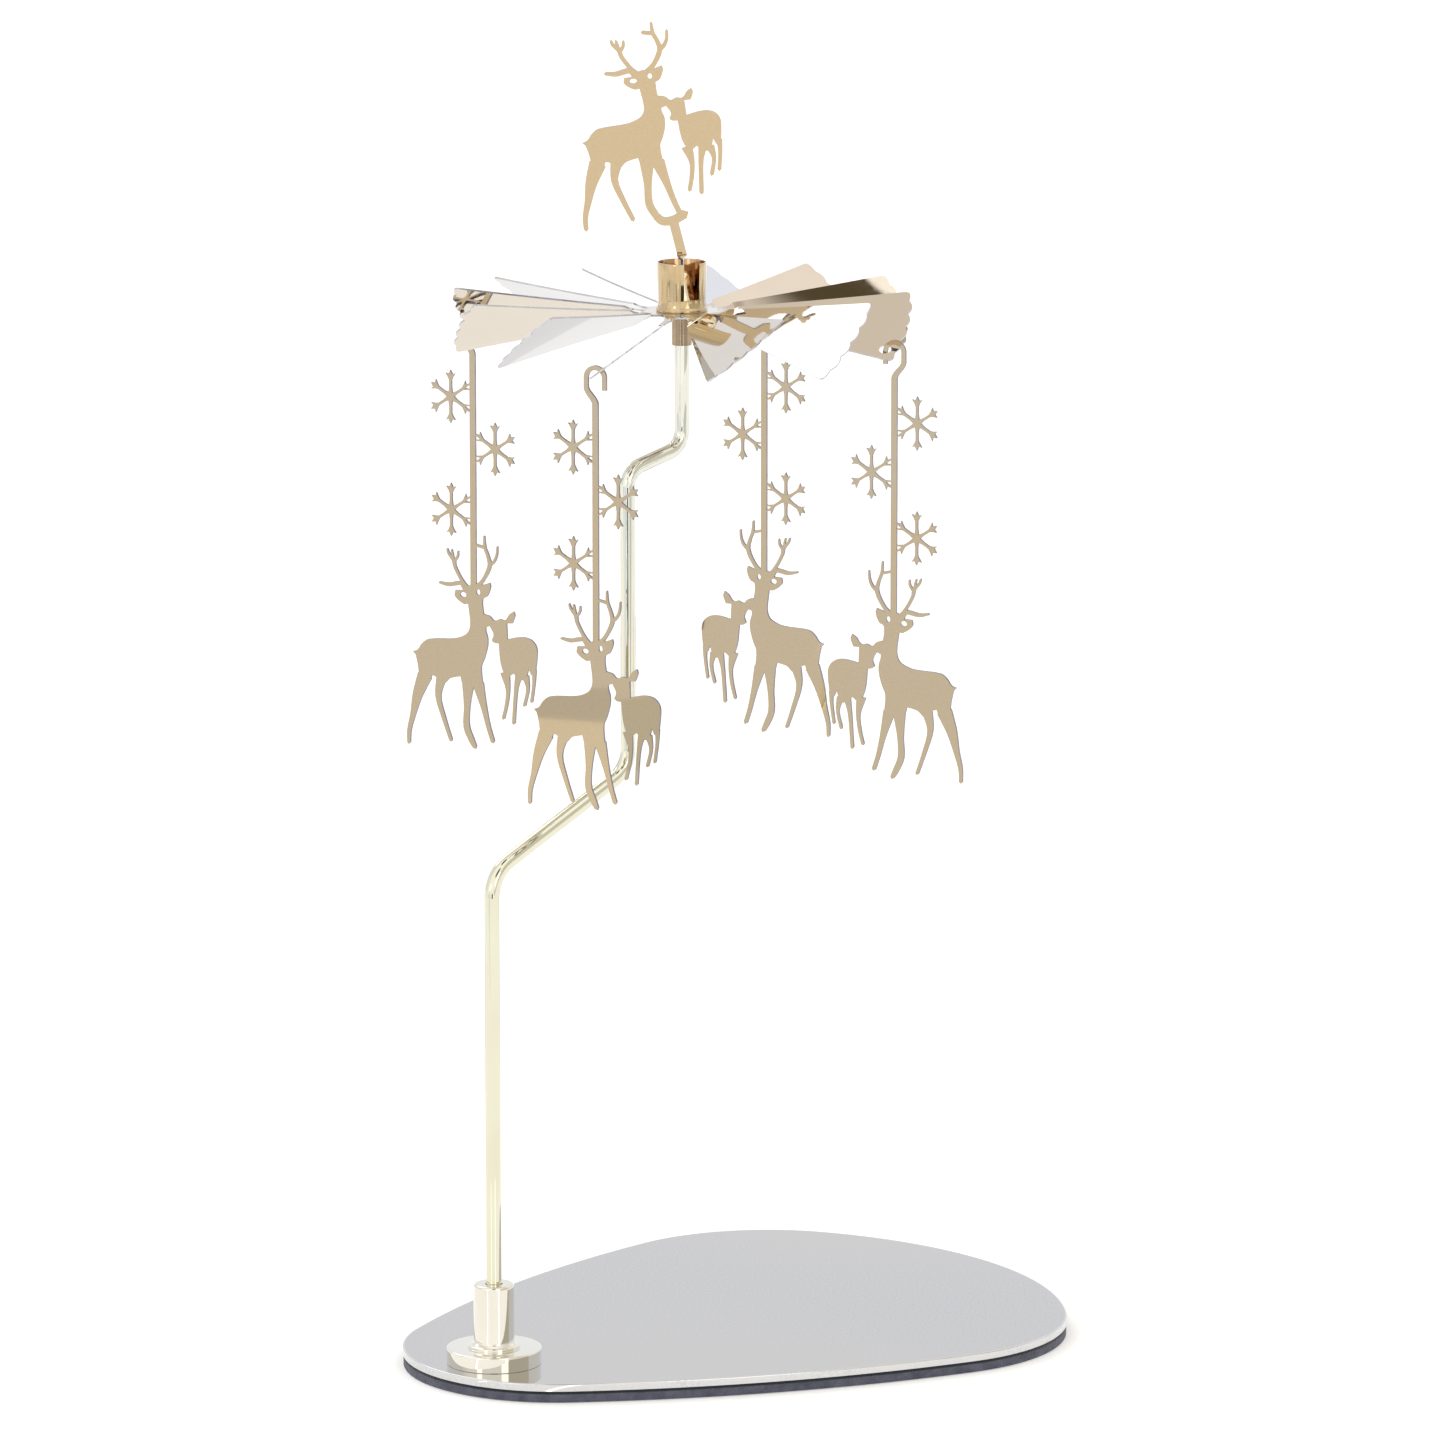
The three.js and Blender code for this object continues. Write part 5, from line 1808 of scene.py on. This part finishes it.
@dataclass
class Studio:
    """A plain pale floor, a soft white surround with soft patches, floor cards and the camera."""

    floor_size: float = 16.0
    floor_gap: float = 0.0002
    floor_colour: Colour = (0.86, 0.86, 0.86)
    floor_glow: float = 0.26
    sky: tuple[tuple[float, Colour], ...] = (
        (0.0, (0.98, 1.0, 1.03)),
        (0.3, (0.95, 0.96, 0.99)),
        (0.6, (0.93, 0.91, 0.88)),
        (0.8, (0.92, 0.85, 0.77)),
        (1.0, (0.92, 0.83, 0.73)),
    )
    patches: tuple[SkyPatch, ...] = (
        SkyPatch((0.0, -1.0, 0.15), 60.0, 85.0, (1.25, 1.23, 1.2)),
        SkyPatch((0.88, -0.43, 0.2), 27.0, 31.0, (0.75, 0.71, 0.62)),
        SkyPatch((-0.55, -0.81, 0.2), 6.0, 8.0, (2.2, 2.2, 2.15)),
        SkyPatch((0.45, -0.87, 0.2), 8.0, 10.0, (2.2, 2.2, 2.15)),
        SkyPatch((0.02, -0.82, 0.57), 9.0, 11.0, (0.05, 0.05, 0.07)),
        SkyPatch((0.02, -0.45, 0.89), 8.0, 10.0, (0.05, 0.05, 0.07)),
        SkyPatch((-0.455, 0.509, 0.73), 14.0, 19.0, (2.3, 2.3, 2.3)),
        SkyPatch((0.45, 0.57, 0.69), 13.0, 20.0, (1.2, 1.1, 1.02)),
        SkyPatch((0.33, 0.91, 0.26), 8.0, 16.0, (0.97, 1.02, 1.16)),
        SkyPatch((-0.333, 0.89, 0.311), 8.0, 16.0, (0.98, 0.97, 1.0)),
        SkyPatch((0.216, 0.247, 0.945), 3.0, 7.0, (0.12, 0.09, 0.05)),
        SkyPatch((0.25, 0.125, 0.96), 5.8, 6.2, (1.5, 1.45, 1.35)),
    )
    cards: tuple[Card, ...] = (
        Card("front_gap", (0.7, 0.72, 0.7), ((-2.2, -0.695), (-2.2, -1.87), (2.2, -1.87), (2.2, -0.695)), 0.001),
        Card(
            "left_middle", (0.97, 1.01, 1.09), ((-0.3, -0.45), (-0.95, -0.45), (-1.6, -1.05), (-0.6, -1.05)), 0.0015
        ),
        Card("left_far", (0.97, 1.04, 1.2), ((-0.6, -1.05), (-1.6, -1.05), (-2.8, -1.87), (-1.1, -1.87)), 0.0015),
        Card("front_bright", (1.5,) * 3, ((-0.27, -0.695), (-0.7, -1.87), (0.75, -1.87), (0.29, -0.695)), 0.002),
        Card(
            "front_shade", (0.05, 0.05, 0.04), ((-0.1, -0.695), (-0.24, -1.87), (0.31, -1.87), (0.125, -0.695)), 0.003
        ),
        Card(
            "left_streak",
            (2.2,) * 3,
            ((-0.0662, -0.0625), (-0.1769, -0.217), (-0.1667, -0.2239), (-0.0649, -0.0634)),
            0.001,
        ),
        Card(
            "right_streak",
            (2.2,) * 3,
            ((-0.0361, -0.0653), (0.0442, -0.2375), (0.0579, -0.2305), (-0.0342, -0.0644)),
            0.001,
        ),
        Card("back_near", (0.95, 0.98, 1.05), ((-0.5, 0.21), (0.6, 0.21), (0.6, 0.34), (-0.5, 0.34)), 0.001),
        Card("back_far", (1.12, 1.15, 1.22), ((-1.0, 0.34), (1.2, 0.34), (1.2, 0.58), (-1.0, 0.58)), 0.001),
        Card(
            "stag_back",
            (0.81, 0.85, 0.9),
            (
                (-0.219, -0.2129, 0.1384), (-0.219, -0.2128, 0.1293),
                (-0.1936, -0.2246, 0.1292), (-0.1936, -0.2246, 0.1392),
            ),
        ),
        Card(
            "stag_front",
            (1.13, 1.13, 1.13),
            (
                (-0.219, -0.2128, 0.1293), (-0.2187, -0.2124, 0.1037),
                (-0.1927, -0.2244, 0.1057), (-0.1936, -0.2247, 0.1292),
            ),
        ),
        Card(
            "doe_side",
            (0.83, 0.87, 0.9),
            (
                (-0.1936, -0.2246, 0.1358), (-0.1934, -0.2243, 0.1157),
                (-0.1764, -0.2321, 0.1171), (-0.1766, -0.2324, 0.1394),
            ),
        ),
    )
    lens: float = 224.2
    sensor: float = 36.0
    camera_place: Triple = (0.010525, -2.30178, 0.61411)
    camera_tilt: float = 79.0

    def glowing(self, name: str, colour: Colour, glow: Colour) -> Material:
        """Makes a dull finish that also gives off light of its own."""
        shine = {"Specular_IOR_Level": 0.0, "Emission_Color": (*glow, 1), "Emission_Strength": 1.0}
        return NodeBench(name, Base_Color=(*colour, 1), Roughness=1.0, **shine).material

    def panel(self, name: str, corners: Sequence[Triple], material: Material) -> Thing:
        """Sets up a four-cornered face as part of the studio.

        Args:
            name: The piece's name.
            corners: Its corners in space.
            material: Its finish.

        Returns:
            The piece.
        """
        shell = Shell()
        shell.add_face(*(shell.add_point(*corner) for corner in corners))
        piece = shell.piece(name, material)
        return piece

    def ground(self) -> None:
        """Lays the floor just under the foam, and sets up the cards, which light nothing but mirrors."""
        half = self.floor_size / 2
        corners = [(x * half, y * half, -self.floor_gap) for x, y in ((-1, -1), (1, -1), (1, 1), (-1, 1))]
        self.panel("floor", corners, self.glowing("pale_floor", self.floor_colour, (self.floor_glow,) * 3))
        for card in self.cards:
            piece = self.panel(card.name, card.places(), self.glowing(card.name, (0.0, 0.0, 0.0), card.colour))
            piece.visible_camera = piece.visible_diffuse = piece.visible_shadow = False

    def surround(self) -> None:
        """Gives the world a white horizon, a dimmer ceiling and its soft patches."""
        world = bpy.data.worlds.new("white_studio")
        bpy.context.scene.world = world
        world.use_nodes = True
        bench = Nodes(world.node_tree)
        direction = bench.add("ShaderNodeTexCoord").outputs["Generated"]
        height = bench.add("ShaderNodeSeparateXYZ", Vector=direction).outputs["Z"]
        sky = bench.add("ShaderNodeValToRGB", Fac=height)
        ramp = sky.color_ramp.elements
        while len(ramp) < len(self.sky):
            ramp.new(0.5)
        for element, (share, colour) in zip(ramp, self.sky):
            element.position = share
            element.color = (*colour, 1)
        seen = sky.outputs["Color"]
        for patch in self.patches:
            facing = bench.add("ShaderNodeVectorMath", {"operation": "DOT_PRODUCT"})
            bench.feed(facing.inputs[0], direction)
            bench.feed(facing.inputs[1], Vector(patch.direction).normalized())
            gone, full = math.cos(math.radians(patch.gone)), math.cos(math.radians(patch.full))
            share = bench.climb(facing.outputs["Value"], gone, full, interpolation_type="SMOOTHSTEP")
            seen = bench.tint(share, seen, patch.colour)
        bench.fill(bench.tree.nodes["Background"], Color=seen)

    def camera(self) -> None:
        """Sets the camera at the photograph's place and angle."""
        data = bpy.data.cameras.new("camera")
        data.lens = self.lens
        data.sensor_width = self.sensor
        data.clip_end = 4 * self.floor_size
        camera = linked("camera", data)
        camera.location = self.camera_place
        camera.rotation_euler = (math.radians(self.camera_tilt), 0, 0)
        bpy.context.scene.camera = camera

    def build(self) -> None:
        """Sets up the whole studio."""
        bpy.context.scene.view_settings.view_transform = "Standard"
        self.ground()
        self.surround()
        self.camera()


def main() -> None:
    """Loads the frame, builds every piece in order and sets up the studio."""
    logging.basicConfig(level=logging.INFO, format="%(message)s")
    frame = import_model()
    joints = frame["joints"]
    spin = next(joint for joint in joints if joint.get("continuous"))
    finishes = Finishes()
    Base().build(finishes)
    Post().build(finishes)
    Bearing().build(finishes)
    Fan().build(finishes, spin["pos_m"][2])
    HubCup().build(finishes, spin["pos_m"][2])
    Hangers().build(finishes, joints)
    TopFigure().build(finishes)
    Studio().build()


if __name__ == "__main__":
    main()
